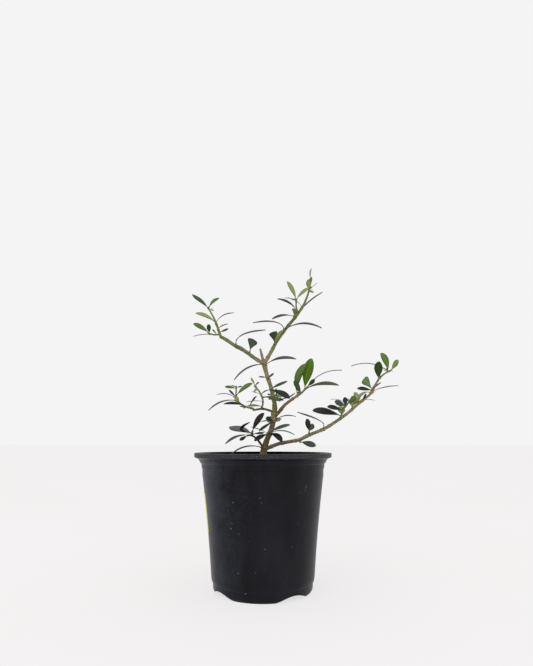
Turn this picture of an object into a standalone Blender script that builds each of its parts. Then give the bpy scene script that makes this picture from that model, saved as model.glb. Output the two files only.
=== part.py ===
"""Young small-leaved olive, trained as an open bonsai, in a round black nursery pot.

Sizes are in millimetres and degrees. The origin is the middle of the pot's flat
underside, +Z is up, +X is the side of the long low bough and -Y is the front.
"""
import bpy
import bmesh
from collections import namedtuple
from math import cos, exp, hypot, inf, log, pi, radians, sin, sqrt, tan
from mathutils import Vector
from mathutils.bvhtree import BVHTree
from random import Random

MM = 0.001
GAP = 0.3
SEED = 11006
WELD = 0.000001

# Pot: radius and height down its outer side, from under the lip to the foot
POT_HEIGHT = 138.7
LIP_RADIUS = 69.6
LIP_BORE = 62.4
LIP_DEPTH = 4.6
LIP_ROUND = 1.1
COLLAR = [(65.6, 132.7), (63.4, 128.6), (62.6, 128.2), (62.2, 123.6), (61.8, 123.2), (61.5, 117.0)]
BODY = [(60.8, 111.5), (58.3, 87.5), (56.1, 63.4), (54.2, 39.4), (52.7, 15.3)]
HEEL = [(52.2, 10.4), (51.3, 9.6), (50.7, 3.3), (49.8, 0.6), (49.1, 0.0)]
WALL = 1.6
FLOOR = 9.0
POT_SIDES = 60

# Four arched gaps under the foot, with a drain hole in each
FOOT_GAPS = (-145.0, -54.0, 35.0, 126.0)
FOOT_GAP_HALF_WIDTH = 18.5
FOOT_GAP_HEIGHT = 5.0
FOOT_GAP_INNER = 25.0
DRAIN_RADIUS = 4.0
DRAIN_RING = 34.0
DRAIN_SIDES = 20

# Soil: flat round the trunk, gently uneven further out
SOIL_LEVEL = 127.6
SOIL_FLAT = 9.0
SOIL_BUMPS = 46
SOIL_BUMP_HEIGHT = 0.9
SOIL_HIGHEST = 2.6
SOIL_RINGS = 7
SOIL_SIDES = 36

# Trunk: its middle line with the radius at each point, widest at the root flare
TRUNK = [(-1, 0, 127.9), (0, 0, 134), (1, 0, 141.5), (4, 0, 151.5), (9.5, 0, 166),
         (12, 0, 183.5), (11, 0, 193.5), (8, 0, 206), (3.5, 0, 220), (1, 0, 231.5)]
TRUNK_RADII = [6.4, 4.2, 3.4, 2.8, 2.7, 2.5, 2.1, 2.0, 2.2, 2.6]

# Boughs: middle line from inside the trunk outward, then the radius at its root and at its tip
BOUGHS = {
    "stub": ([(1, 0, 230), (-1, 0, 237.5), (-3, 0, 245.5)], 1.6, 0.95),
    "bough_upper_left": ([(1, 0, 229.5), (-8.5, 1, 235.5), (-18.5, 3, 243), (-28.5, 6, 249),
                          (-38, 10, 256), (-44.5, 13, 260)], 1.9, 1.75),
    "bough_upper_right": ([(1, 0, 229.5), (8.5, -1, 242), (14, -3, 252), (23, -6, 264),
                           (34, -9, 276.5)], 1.95, 1.5),
    "bough_middle_right": ([(11.5, 0, 175.5), (17, -2, 181), (22, -4, 187), (28.5, -7, 192),
                            (34.5, -9, 196)], 2.0, 1.2),
    "bough_lower_right": ([(1.5, 0, 142), (15, -3, 147.5), (27, -6, 150), (37, -8, 152),
                           (46, -8, 156.5), (62, -6, 163), (72, -4, 169), (81, -2, 175),
                           (89.5, 0, 181.5), (98, 3, 189)], 1.9, 1.45),
    "bough_middle_left": ([(12, 0, 180), (0.5, 1, 183.5), (-10.5, 4, 182.5)], 1.2, 0.95),
    "bough_lower_left": ([(0.5, 0, 143.5), (-5.5, -5, 152), (-9.5, -9, 155.5)], 1.1, 0.9),
    "bough_back_upper": ([(11, 1, 187), (13, 12, 188.5), (13.5, 24, 190.5), (13, 36, 194)],
                         1.35, 0.95),
    "bough_back_lower": ([(6.5, 1, 158), (9, 13, 160), (10.5, 26, 163), (11, 38, 168)],
                         1.35, 0.95),
}
LIMB_STEP = 3.4
LIMB_ROUNDNESS = 3
LEADER_ROOT = 1.45
SHOOT_ROOT = 0.9
SHOOT_TIP = 0.72
SHOOT_ROUNDNESS = 1
SPUR_RADIUS = 0.75
SPUR_LENGTH = 2.4
FORK_ROOT = 0.75

# A root is shortened by small steps until it clears what is near it
SEAT_REACH = 16.0
SEAT_MOST = 12.0
SEAT_STEP = 0.1

# Places of leaves along a spur, from its end, and near a shoot's tip
SPUR_LEAF, SPUR_LEAF_STEP = 0.84, 0.17
LAST_LEAF, LAST_LEAF_STEP = 0.985, 0.013

# How a leaf shows itself from the front: its lean away from the front, the turn of the blade
# from edge-on, its width as a part of its length, how far it bows up as a part of its reach,
# where the bow is highest and whether the tip is blunt
Show = namedtuple("Show", "lean turn width bow peak blunt", defaults=(0.5, False))
EDGE = Show(15, 16, 0.21, 0.06)
ARC = Show(-12, 30, 0.20, 0.13)
BOW = Show(6, 20, 0.21, 0.15)
HOOP = Show(6, 20, 0.21, 0.18, 0.34)
HOOK = Show(15, 22, 0.21, 0.13, 0.25)
SIDE = Show(38, 28, 0.21, 0.10)
SAG = Show(25, 20, 0.21, -0.12)
HALF = Show(30, 45, 0.19, 0.04)
BLADE = Show(-12, 38, 0.20, 0.10)
ARCH = Show(-30, 50, 0.20, 0.11)
LANCE = Show(-35, 60, 0.21, 0.07)
FACE = Show(-40, 65, 0.23, 0.08)
BROAD = Show(-36, 76, 0.30, 0.04)
ROUND = Show(-40, 68, 0.36, 0.04)
PADDLE = Show(-40, 68, 0.25, 0.12)
FRONT = Show(-58, 72, 0.21, 0.05)
FAN = Show(-60, 80, 0.42, 0.02, 0.5, True)
WEDGE = Show(-40, 75, 0.40, 0.04, 0.5, True)
AWAY = Show(54, 45, 0.24, 0.05)
THIN = Show(8, 5, 0.14, 0.14)
LONG = Show(-30, 68, 0.20, 0.15)
WIDE = Show(-38, 72, 0.42, 0.05)
DISC = Show(-40, 75, 0.60, 0.02)
DROOP = Show(-40, 65, 0.32, 0.20)
FOLD = Show(-20, 50, 0.24, 0.20, 0.36)
CURL = Show(-20, 64, 0.32, -0.90)

# Leafy shoots: the limb, the place on it (1 is its tip), the line that the shoot takes from
# there, and its leaves. A leaf is its place along the shoot, then its heading and its reach as
# seen from the front (0 to the right, 90 up), and how it shows itself.
SHOOTS = {
    "upper_left": ("bough_upper_left", 1, [(-48.5, 15, 272), (-53, 17, 282.5), (-58, 19, 291.5)], [
        (1.0, 139, 23, HALF), (1.0, 46, 16, LONG), (0.41, 153, 24.5, ARCH), (0.45, 28, 22, BOW),
        (0.23, 26, 12, SIDE), (0.1, 22, 10.5, HALF)]),
    "top": ("bough_upper_right", 1, [(39, -12, 283.5), (43, -13, 291.5), (46, -13, 300.5),
                                     (48.5, -12, 313.5)], [
        (0.06, 41, 32, EDGE), (0.22, 151, 20, BOW), (0.65, 45, 12, EDGE), (0.67, 97, 11, WIDE),
        (0.7, 80, 12.5, FACE), (0.95, 88, 11.5, BLADE)]),
    "middle_right": ("bough_middle_right", 1, [(39.5, -11, 199.5), (45, -13, 205.5)], [
        (0.03, 75, 33, LONG), (0.3, 122, 14, FRONT), (0.6, 8, 35, ARC), (0.65, 77, 32, BROAD),
        (0.95, 42, 10, ROUND), (1.0, 25, 37.5, THIN)]),
    "right_outer": ("bough_lower_right", 1, [(106, 5, 195), (112.5, 7, 201), (119.5, 8, 214),
                                             (127, 10, 221), (135, 12, 225)], [
        (0.03, 120, 12, ROUND), (0.33, 209, 20, FOLD), (0.1, 60, 8, HALF), (0.12, -2, 12, EDGE),
        (0.39, 126, 15.5, WEDGE), (0.39, 172, 16, LANCE), (0.38, 12, 28, EDGE), (0.36, 45, 14, SIDE),
        (0.37, 58, 14, SIDE), (0.65, 87, 18.5, WIDE), (0.92, 171.5, 39.5, THIN), (0.9, 111, 21, PADDLE),
        (1.0, 56, 13, ROUND)]),
    "right_inner": ("bough_lower_right", 0.77, [(80, -10, 181), (84.5, -14, 188)], [
        (0.02, 169, 30, LANCE), (0.1, 95, 9.5, DISC), (0.3, 62, 11, FACE), (0.45, 165, 16, FACE),
        (0.8, 100, 9, WIDE), (0.8, 158, 12, ROUND), (1.0, 40, 11, ROUND), (0.9, 162, 17, THIN)]),
    "middle_left": ("bough_middle_left", 1, [(-18.5, 6, 186.5), (-24.5, 8, 190.5), (-28, 10, 195.5),
                                             (-28, 11, 207)], [
        (0.05, 170, 12, HALF), (0.1, 58, 14, SIDE), (0.2, 173, 24, BLADE), (0.55, 198, 32, BOW),
        (0.64, 169, 21, BOW), (0.68, 135, 11, HALF), (0.7, 39, 22, ARCH), (1.0, 171, 12, FACE),
        (1.0, 155, 5.5, SIDE), (1.0, 14, 6, SIDE)]),
    "middle_left_rising": ("bough_middle_left", 0.52, [(0, -4, 191.5), (-3, -8, 199.5),
                                                       (-8.5, -10, 206.5)], [
        (0.05, 176, 15, HALF), (0.27, 182, 17, EDGE), (0.45, -13, 19, ARCH), (0.55, 161, 10, EDGE),
        (1.0, 115, 9, HALF), (1.0, 38, 5.5, SIDE), (0.93, -62, 5, HALF), (0.88, 245, 5, HALF)]),
    "lower_left": ("bough_lower_left", 1, [(-12.5, -11, 156.5), (-16, -13, 155.5)], [
        (0.55, 200, 26, ARC), (0.9, 211, 9, ROUND)]),
    "back_upper": ("bough_back_upper", 1, [(12.5, 45, 198), (12, 53, 204)], []),
    "back_lower": ("bough_back_lower", 1, [(11.5, 46, 173), (12, 54, 178)], []),
}

# Second stems of three shoots: the place on the shoot, then as above
FORKS = {
    "upper_left": (0.04, [(-51, 8, 261), (-56, 3, 261.5)], [
        (0.6, 185, 21, EDGE), (0.95, 97, 9.5, WIDE), (1.0, 149, 19, FACE), (0.3, 130, 7, SIDE)]),
    "top": (0.04, [(33, -15, 284.5), (33, -18, 290.5)], [
        (0.2, 149, 23.5, ARC), (0.9, 116, 21, LANCE), (0.97, 43, 17, LANCE)]),
    "lower_left": (0.04, [(-10.5, -12, 158.5), (-11, -14, 161)], [
        (0.4, 163, 24, AWAY), (0.7, 58, 22.5, FACE), (0.6, 100, 11, CURL), (0.35, 6, 12, HALF)]),
}

# Short spurs that stand on a limb: the limb, the place on it, the way that the spur points,
# and its leaves as heading, reach and how they show themselves
SPURS = {
    "upper_left_root": ("bough_upper_left", 0.26, (0.1, -0.9, 0.6), [(75, 13, FAN)]),
    "upper_left_joint": ("bough_upper_left", 0.6, (0.1, -1, 0.2), [(26, 34, HOOP), (-33, 13, SIDE)]),
    "upper_right_root": ("bough_upper_right", 0.31, (0, -1, 0.3), [(96, 12, FAN), (58, 16, FACE)]),
    "upper_right_joint": ("bough_upper_right", 0.63, (0, -1, 0.1), [(167, 32, HOOP), (3, 38, BOW)]),
    "upper_right_tip": ("bough_upper_right", 0.94, (-0.3, -1, 0.2), [(187, 22, ARC), (72, 7.5, FAN)]),
    "fork": ("trunk", 0.96, (0.3, -1, 0.2), [(10, 31, ARC), (206, 36, BOW)]),
    "trunk_upper": ("trunk", 0.825, (-0.2, -1, 0.2), [(172, 9, SIDE), (38, 8, HALF)]),
    "trunk_middle": ("trunk", 0.72, (-0.5, -1, 0), [(26, 20, HALF), (-24, 22, FACE), (205, 10, SIDE)]),
    "trunk_heart": ("trunk", 0.63, (0.3, -1, 0.1), [(16, 21, SAG), (-12, 9, HALF)]),
    "trunk_low": ("trunk", 0.42, (0.1, -1, -0.1), [(12, 23, BOW), (159, 9, ROUND), (184, 14, SIDE),
                                                      (214, 18, HALF)]),
    "trunk_lower": ("trunk", 0.29, (-0.3, -1, 0), [(22, 24, SIDE), (-2, 27, BOW), (-31, 16, DROOP),
                                                   (158, 19, EDGE), (207, 16, FACE)]),
    "trunk_foot": ("trunk", 0.145, (-0.6, -1, 0.2), [(193.5, 32.5, BOW)]),
    "lower_right_under": ("bough_lower_right", 0.305, (0.1, -1, -0.6), [(-15, 16.5, BROAD)]),
    "lower_right_pair": ("bough_lower_right", 0.41, (-0.1, -0.7, 1), [(101, 13, ROUND), (66, 9, DISC)]),
    "lower_right_joint": ("bough_lower_right", 0.56, (0, -1, 0.4), [(150, 31, HOOK)]),
    "lower_right_tip": ("bough_lower_right", 0.91, (-0.1, -1, 0.6), [(50, 13, FACE), (82, 12, ROUND),
                                                                    (120, 11, FACE)]),
}

# Leaves: part of the full width at places along the blade, and the stalk
LEAF_OUTLINE = [(0.3, 0.58), (0.52, 0.94), (0.74, 0.98), (0.91, 0.58)]
BLUNT_OUTLINE = [(0.3, 0.34), (0.58, 0.68), (0.84, 1.0), (0.97, 0.86)]
LEAF_NARROWEST, LEAF_WIDEST = 3.2, 10.2
LEAF_THICKNESS = 0.022
LEAF_THINNEST = 0.3
LEAN_SPREAD = 8
STEEPEST_LEAN = 60
STALK = 0.10
STALK_RADIUS = 0.42
STALK_DEPTH = 1.3
LEAF_CLEARANCE = 0.35
BLADE_CLEARANCE = 0.1
BLADE_START = 0.3

# Leaves of the shoots behind the trunk: pairs that point away, each turned a quarter from the last
BACK_PAIRS = 5
BACK_REACH = 9.0

# The outline of the crown is given as it is seen from this point in front
EYE = Vector((3.6, -500.0, 149.1))


def clear_scene():
    for old in list(bpy.data.objects):
        bpy.data.objects.remove(old, do_unlink=True)


def new_collection(name):
    group = bpy.data.collections.new(name)
    bpy.context.scene.collection.children.link(group)
    return group


def paint(name, colour, roughness):
    material = bpy.data.materials.new(name)
    material.use_nodes = True
    shader = material.node_tree.nodes["Principled BSDF"]
    shader.inputs["Base Color"].default_value = (*colour, 1.0)
    shader.inputs["Roughness"].default_value = roughness
    shader.inputs["Metallic"].default_value = 0.0
    material.diffuse_color = (*colour, 1.0)
    return material


def new_object(name, mesh, material, collection):
    mesh.materials.clear()
    mesh.materials.append(material)
    thing = bpy.data.objects.new(name, mesh)
    collection.objects.link(thing)
    return thing


def evaluated_mesh(thing):
    """The mesh of an object as its modifiers or its curve settings make it."""
    bpy.context.view_layer.update()
    depsgraph = bpy.context.evaluated_depsgraph_get()
    return bpy.data.meshes.new_from_object(thing.evaluated_get(depsgraph))


def turned(name, profile, sides, material, collection):
    """A profile of (radius, height), which runs down its outer side, turned about Z."""
    mesh = bpy.data.meshes.new(name)
    spots = [(radius * MM, 0.0, height * MM) for radius, height in profile]
    mesh.from_pydata(spots, [(i, i + 1) for i in range(len(spots) - 1)], [])
    thing = new_object(name, mesh, material, collection)
    screw = thing.modifiers.new("turn", "SCREW")
    screw.steps = sides
    screw.render_steps = sides
    screw.use_merge_vertices = True
    screw.merge_threshold = 0.00001
    return thing


def made_mesh(guide, name, material, collection):
    """A curve object made a closed mesh, with its caps welded to its sides."""
    mesh = evaluated_mesh(guide)
    work = bmesh.new()
    work.from_mesh(mesh)
    bmesh.ops.remove_doubles(work, verts=work.verts, dist=WELD)
    bmesh.ops.recalc_face_normals(work, faces=work.faces)
    work.to_mesh(mesh)
    work.free()
    thing = new_object(name, mesh, material, collection)
    thing.matrix_world = guide.matrix_world
    bpy.data.objects.remove(guide, do_unlink=True)
    return thing


def cut(target, cutter):
    """Takes the cutter's shape out of the target."""
    step = target.modifiers.new("cut", "BOOLEAN")
    step.operation = "DIFFERENCE"
    step.solver = "EXACT"
    step.object = cutter
    cutter.hide_render = True
    cutter.display_type = "WIRE"


def arc(middle, height, radius, angles):
    return [(middle + radius * cos(radians(a)), height + radius * sin(radians(a))) for a in angles]


def pot_profile():
    """From the middle of the floor up the inside, over the lip and down the outside."""
    outside = COLLAR + BODY
    inside = [(radius - WALL, height - 0.6) for radius, height in reversed(outside) if height > FLOOR]
    corner = [(0.0, FLOOR), (inside[0][0] - 0.2, FLOOR)]
    bore = [(LIP_BORE, POT_HEIGHT - 0.7), (LIP_BORE + 0.7, POT_HEIGHT)]
    shoulder = arc(LIP_RADIUS - LIP_ROUND, POT_HEIGHT - LIP_ROUND, LIP_ROUND, (90, 60, 30, 0))
    under_lip = [(LIP_RADIUS, POT_HEIGHT - LIP_DEPTH + 0.6), (LIP_RADIUS - 0.5, POT_HEIGHT - LIP_DEPTH)]
    return corner + inside + bore + shoulder + under_lip + outside + HEEL + [(0.0, 0.0)]


def arched_gap(name, angle, material, collection):
    """An arch outline on the foot's rim, drawn upright and extruded outward."""
    steps = 16
    curve = bpy.data.curves.new(name, "CURVE")
    curve.dimensions = "2D"
    curve.fill_mode = "BOTH"
    curve.extrude = 0.5 * (LIP_RADIUS - FOOT_GAP_INNER) * MM
    outline = [(-FOOT_GAP_HALF_WIDTH, -2.0), (FOOT_GAP_HALF_WIDTH, -2.0)]
    for k in range(steps + 1):
        side = 1.0 - 2.0 * k / steps
        height = FOOT_GAP_HEIGHT * cos(pi / 2 * side) if 0 < k < steps else 0.0
        outline.append((FOOT_GAP_HALF_WIDTH * side, height))
    spline = curve.splines.new("POLY")
    spline.points.add(len(outline) - 1)
    for point, (across, up) in zip(spline.points, outline):
        point.co = (across * MM, up * MM, 0.0, 1.0)
    spline.use_cyclic_u = True
    guide = bpy.data.objects.new(name + "_outline", curve)
    collection.objects.link(guide)
    turn = radians(angle)
    reach = 0.5 * (LIP_RADIUS + FOOT_GAP_INNER) * MM
    guide.location = (reach * cos(turn), reach * sin(turn), 0.0)
    guide.rotation_euler = (pi / 2, 0.0, turn + pi / 2)
    return made_mesh(guide, name, material, collection)


def drain_hole(name, angle, material, collection):
    work = bmesh.new()
    bmesh.ops.create_cone(work, cap_ends=True, segments=DRAIN_SIDES, radius1=DRAIN_RADIUS * MM,
                          radius2=DRAIN_RADIUS * MM, depth=2 * FLOOR * MM)
    mesh = bpy.data.meshes.new(name)
    work.to_mesh(mesh)
    work.free()
    thing = new_object(name, mesh, material, collection)
    turn = radians(angle)
    thing.location = (DRAIN_RING * cos(turn) * MM, DRAIN_RING * sin(turn) * MM, 0.5 * FLOOR * MM)
    return thing


def build_pot(plastic, parts, cutters):
    pot = turned("pot", pot_profile(), POT_SIDES, plastic, parts)
    for k, angle in enumerate(FOOT_GAPS, 1):
        cut(pot, arched_gap("foot_gap_%d" % k, angle, plastic, cutters))
        cut(pot, drain_hole("drain_%d" % k, angle, plastic, cutters))


def soil_height(x, y, bumps):
    """The height of the uneven top, which fades to flat round the trunk."""
    hold = min(1.0, max(0.0, (hypot(x, y) - SOIL_FLAT) / SOIL_FLAT))
    lift = sum(high * exp(-((x - a) ** 2 + (y - b) ** 2) / (2 * wide * wide)) for a, b, wide, high in bumps)
    return SOIL_LEVEL + min(SOIL_HIGHEST, SOIL_BUMP_HEIGHT * lift * hold)


def build_soil(earth, parts):
    """A plug that fills the pot, GAP clear of its wall and floor."""
    side = [(radius - WALL - GAP, height - 0.6) for radius, height in COLLAR + BODY if height < SOIL_LEVEL]
    top = [(side[0][0] * k / SOIL_RINGS, SOIL_LEVEL) for k in range(SOIL_RINGS + 1)]
    foot = [(side[-1][0] - GAP, FLOOR + GAP), (0.0, FLOOR + GAP)]
    plug = turned("soil", top + side + foot, SOIL_SIDES, earth, parts)
    plug.data = evaluated_mesh(plug)
    plug.modifiers.clear()
    rng = Random(SEED)
    bumps = [(rng.uniform(-55, 55), rng.uniform(-55, 55), rng.uniform(7, 15), rng.uniform(-0.6, 1.0))
             for _ in range(SOIL_BUMPS)]
    for vertex in plug.data.vertices:
        x, y, z = vertex.co / MM
        if z > SOIL_LEVEL - 0.01:
            vertex.co.z = soil_height(x, y, bumps) * MM


def smooth(points, radii, step):
    """Points and radii along a smooth run through the control points."""
    p = [Vector(q) for q in points]
    ends = [2 * p[0] - p[1]] + p + [2 * p[-1] - p[-2]]
    out = []
    for i in range(len(p) - 1):
        a, b, c, d = ends[i:i + 4]
        count = max(2, round((c - b).length / step))
        for k in range(count):
            t = k / count
            bend = (2 * a - 5 * b + 4 * c - d) * t * t + (3 * b - a - 3 * c + d) * t ** 3
            out.append((0.5 * (2 * b + (c - a) * t + bend), radii[i] + (radii[i + 1] - radii[i]) * t))
    out.append((p[-1], radii[-1]))
    return out


def tapered(points, root, tip, step=LIMB_STEP):
    """A smooth run with a radius that falls evenly from its root to its tip."""
    last = len(points) - 1
    return smooth(points, [root + (tip - root) * k / last for k in range(last + 1)], step)


def along(run, place):
    """The point and radius at a place from 0 to 1 along a run."""
    spans = [(b[0] - a[0]).length for a, b in zip(run, run[1:])]
    left = place * sum(spans)
    for span, (a, wide), (b, thin) in zip(spans, run, run[1:]):
        if left <= span:
            break
        left -= span
    share = min(1.0, left / span)
    return a.lerp(b, share), wide + (thin - wide) * share


def ring_points(run, sides=10):
    """The middle of a run's root, and points round its body at each of its stations."""
    points = [run[0][0]]
    for i, (spot, radius) in enumerate(run):
        way = (run[min(i + 1, len(run) - 1)][0] - run[max(i - 1, 0)][0]).normalized()
        side = way.orthogonal().normalized()
        other = way.cross(side)
        for k in range(sides):
            turn = 2 * pi * k / sides
            points.append(spot + side * (radius * cos(turn)) + other * (radius * sin(turn)))
    return points


def off_body(spot, run):
    """How far a point is outside the flat-ended round body of a run; below 0 is inside it."""
    best = inf
    for i, ((a, wide), (b, thin)) in enumerate(zip(run, run[1:])):
        span = b - a
        share = (spot - a).dot(span) / span.length_squared
        held = min(1.0, max(0.0, share))
        aside = (spot - a - span * held).length
        radius = wide + (thin - wide) * held
        past = 0.0
        if share > 1.0 and i == len(run) - 2:
            past = (share - 1.0) * span.length
        elif share < 0.0 and i == 0:
            past = -share * span.length
        if past > 0.0:
            beside = sqrt(max(0.0, aside * aside - past * past)) - radius
            best = min(best, hypot(past, beside) if beside > 0.0 else past)
        else:
            best = min(best, aside - radius)
    return best


def shorten(run, far):
    """The run with this length taken off its root."""
    run = list(run)
    while far > 0 and len(run) > 2:
        length = (run[1][0] - run[0][0]).length
        if length > far + 0.4:
            share = far / length
            run[0] = (run[0][0].lerp(run[1][0], share), run[0][1] + (run[1][1] - run[0][1]) * share)
            break
        far -= length
        run.pop(0)
    return run


def seated(run, bodies):
    """Shortens a run at its root until it stands just clear of the bodies there."""
    root = run[0][0]
    near = []
    for body in bodies:
        kept = [i for i, (spot, _) in enumerate(body) if (spot - root).length < SEAT_REACH]
        if kept:
            near.append((body[max(0, kept[0] - 1):kept[-1] + 2]))
    corners = [spot for body in near for spot in ring_points(body)]
    far = 0.0
    while far < SEAT_MOST:
        trial = shorten(run, far)
        start = trial[:4]
        far += SEAT_STEP
        if min(off_body(spot, body) for spot in ring_points(start) for body in near) < GAP:
            continue
        if min(off_body(spot, start) for spot in corners) >= GAP:
            break
    return trial


def tube(name, run, roundness, material, collection):
    """A closed round body along a run."""
    curve = bpy.data.curves.new(name, "CURVE")
    curve.dimensions = "3D"
    curve.bevel_depth = MM
    curve.bevel_resolution = roundness
    curve.use_fill_caps = True
    spline = curve.splines.new("POLY")
    spline.points.add(len(run) - 1)
    for point, (spot, radius) in zip(spline.points, run):
        point.co = (*(spot * MM), 1.0)
        point.radius = radius
    guide = bpy.data.objects.new(name + "_line", curve)
    collection.objects.link(guide)
    thing = made_mesh(guide, name, material, collection)
    thing.data.shade_smooth()
    return thing


def build_limbs(bark, parts):
    """The trunk, cut flat at the soil, then each bough with its root just clear of what it meets."""
    runs = {"trunk": smooth(TRUNK, TRUNK_RADII, LIMB_STEP)}
    for name, (points, root, tip) in BOUGHS.items():
        runs[name] = seated(tapered(points, root, tip), list(runs.values()))
    limbs = {name: tube(name, run, LIMB_ROUNDNESS, bark, parts) for name, run in runs.items()}
    ground = (SOIL_LEVEL + GAP) * MM
    for vertex in limbs["trunk"].data.vertices:
        if vertex.co.z < ground + MM:
            vertex.co.z = ground
    return runs, limbs


def shoot_run(parent, place, points, bodies):
    """A shoot that grows on from a limb's tip or from a place on its side."""
    spot, radius = along(parent, place)
    root = min(radius, LEADER_ROOT if place == 1 else SHOOT_ROOT)
    return seated(tapered([spot] + points, root, SHOOT_TIP), bodies)


def spur_run(parent, place, way, bodies):
    """A short straight spur on a limb's side."""
    spot, radius = along(parent, place)
    way = Vector(way).normalized()
    length = radius + GAP + SPUR_LENGTH
    run = [(spot + way * (length * k / 6), SPUR_RADIUS) for k in range(7)]
    return seated(run, bodies)


def build_runs(limb_runs):
    """The run of every shoot, spur and second stem, and the leaves that each carries."""
    bodies = list(limb_runs.values())
    stems = {}
    for name, (limb, place, points, leaves) in SHOOTS.items():
        run = shoot_run(limb_runs[limb], place, points, bodies)
        stems["foliage_" + name] = [(run, leaves or back_leaves(name))]
    for name, (place, points, leaves) in FORKS.items():
        main = stems["foliage_" + name][0][0]
        spot, radius = along(main, place)
        stems["foliage_" + name].append((tapered([spot] + points, FORK_ROOT, SHOOT_TIP), leaves))
    for name, (limb, place, way, leaves) in SPURS.items():
        run = spur_run(limb_runs[limb], place, way, bodies)
        apart = [(SPUR_LEAF - SPUR_LEAF_STEP * k, *leaf) for k, leaf in enumerate(leaves)]
        stems["foliage_" + name] = [(run, apart)]
    return stems


def back_leaves(name):
    """Opposite pairs on a shoot behind the trunk, by a seeded rule."""
    rng = Random(SEED + len(name))
    leaves = []
    for k in range(BACK_PAIRS):
        place = 0.1 + 0.9 * k / (BACK_PAIRS - 1)
        for side in (-1, 1):
            spread = rng.uniform(60, 100) if k % 2 else rng.uniform(10, 35)
            leaves.append((place, 90 + side * spread, BACK_REACH * rng.uniform(0.7, 1.1), AWAY))
    return leaves


def from_eye(spot, depth):
    """A point moved along the line of sight to another depth, so that it looks the same."""
    return EYE + (spot - EYE) * ((depth - EYE.y) / (spot.y - EYE.y))


def leaf_line(root, heading, reach, lean):
    """The tip of a leaf, the way that it bows and the way across it to the eye in front."""
    turn = radians(heading)
    flat = root + Vector((cos(turn), 0.0, sin(turn))) * reach
    tip = from_eye(flat, root.y + reach * tan(radians(lean)))
    way = (tip - root).normalized()
    rise = way.cross(root - EYE).normalized() * (1.0 if cos(turn) >= 0.0 else -1.0)
    toward = way.cross(rise) * (1.0 if cos(turn) >= 0.0 else -1.0)
    return tip, rise, toward


def bowed(show, reach, place):
    """How far a leaf's middle line rises above its chord at a place, and how steeply."""
    power = log(0.5) / log(show.peak)
    share = place ** power
    slope = power * max(place, STALK) ** (power - 1)
    high = 4 * show.bow * reach
    return high * share * (1 - share), high * (1 - 2 * share) * slope


def leaf(root, heading, reach, lean, show, extra=0.0, start=0.0):
    """A blade on a short stalk: closed, bowed along its length and thicker at the midrib."""
    tip, rise, toward = leaf_line(root, heading, reach, lean)
    span = tip - root
    length = span.length
    width = min(LEAF_WIDEST, max(LEAF_NARROWEST, show.width * length))
    thick = max(LEAF_THINNEST, LEAF_THICKNESS * length)
    stalk = 2 * STALK_RADIUS / width
    stations = [(0.0, stalk, STALK_DEPTH), (STALK, stalk, STALK_DEPTH)]
    stations += [(place, share, 1.0) for place, share in (BLUNT_OUTLINE if show.blunt else LEAF_OUTLINE)]
    stations = [station for station in stations if station[0] >= start]
    verts = []
    for place, share, deep in stations:
        lift, steep = bowed(show, reach, place)
        middle = root + span * place + rise * lift
        way = (span + rise * steep).normalized()
        over = (rise - way * rise.dot(way)).normalized()
        across = toward * cos(radians(show.turn)) - over * sin(radians(show.turn))
        up = way.cross(across)
        half = 0.5 * width * share + extra
        deep = 0.5 * thick * deep + extra
        verts += [middle - across * half, middle + up * deep, middle + across * half, middle - up * deep]
    verts.append(tip + span.normalized() * extra)
    faces = [(3, 2, 1, 0)]
    last = len(stations) - 1
    for i in range(last):
        for k in range(4):
            a, b = i * 4 + k, i * 4 + (k + 1) % 4
            faces += [(a, b, b + 4), (a, b + 4, a + 4)]
    faces += [(last * 4 + k, last * 4 + (k + 1) % 4, len(verts) - 1) for k in range(4)]
    return verts, faces


def tree_of(thing):
    spots = [vertex.co / MM for vertex in thing.data.vertices]
    return BVHTree.FromPolygons(spots, [tuple(face.vertices) for face in thing.data.polygons])


def other_leans(lean):
    """The lean as given, then others to try where the leaf would touch something."""
    yield lean
    near = (-lean, lean - 12, lean + 12, -lean - 12, 12 - lean, lean - 24, lean + 24)
    for other in (*near, 40, -40, 20, -20, 0):
        if abs(other) <= STEEPEST_LEAN:
            yield other


def grow_leaves(stems, limbs, stem_trees):
    """Every leaf that keeps clear of the limbs and of the other masses."""
    walls = [tree_of(limb) for limb in limbs.values()]
    grown = {mass: [] for mass in stems}
    standing = []
    skipped = 0
    for mass, carried in stems.items():
        rng = Random(SEED + len(mass))
        others = walls + [tree for name, trees in stem_trees.items() if name != mass for tree in trees]
        for run, leaves in carried:
            for k, (place, heading, reach, show) in enumerate(leaves):
                root, _ = along(run, min(place, LAST_LEAF - LAST_LEAF_STEP * (k % 4)))
                lean = show.lean * (-1 if 0 < show.lean < 50 and k % 2 else 1)
                lean += rng.uniform(-LEAN_SPREAD, LEAN_SPREAD)
                best = None
                for other in other_leans(lean):
                    shape = (root, heading, reach, other, show)
                    fat = BVHTree.FromPolygons(*leaf(*shape, extra=LEAF_CLEARANCE))
                    blade = BVHTree.FromPolygons(*leaf(*shape, extra=BLADE_CLEARANCE, start=BLADE_START))
                    if any(fat.overlap(tree) for tree in others):
                        continue
                    if any(owner != mass and fat.overlap(whole) for owner, whole, _ in standing):
                        continue
                    crossing = any(owner == mass and blade.overlap(far) for owner, _, far in standing)
                    crossing = crossing or any(blade.overlap(tree) for tree in stem_trees[mass])
                    if best is None or not crossing:
                        best = shape
                    if not crossing:
                        break
                if best is None:
                    skipped += 1
                    continue
                grown[mass].append(leaf(*best))
                standing.append((mass, BVHTree.FromPolygons(*leaf(*best)),
                                 BVHTree.FromPolygons(*leaf(*best, start=BLADE_START))))
    return grown, skipped


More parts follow.
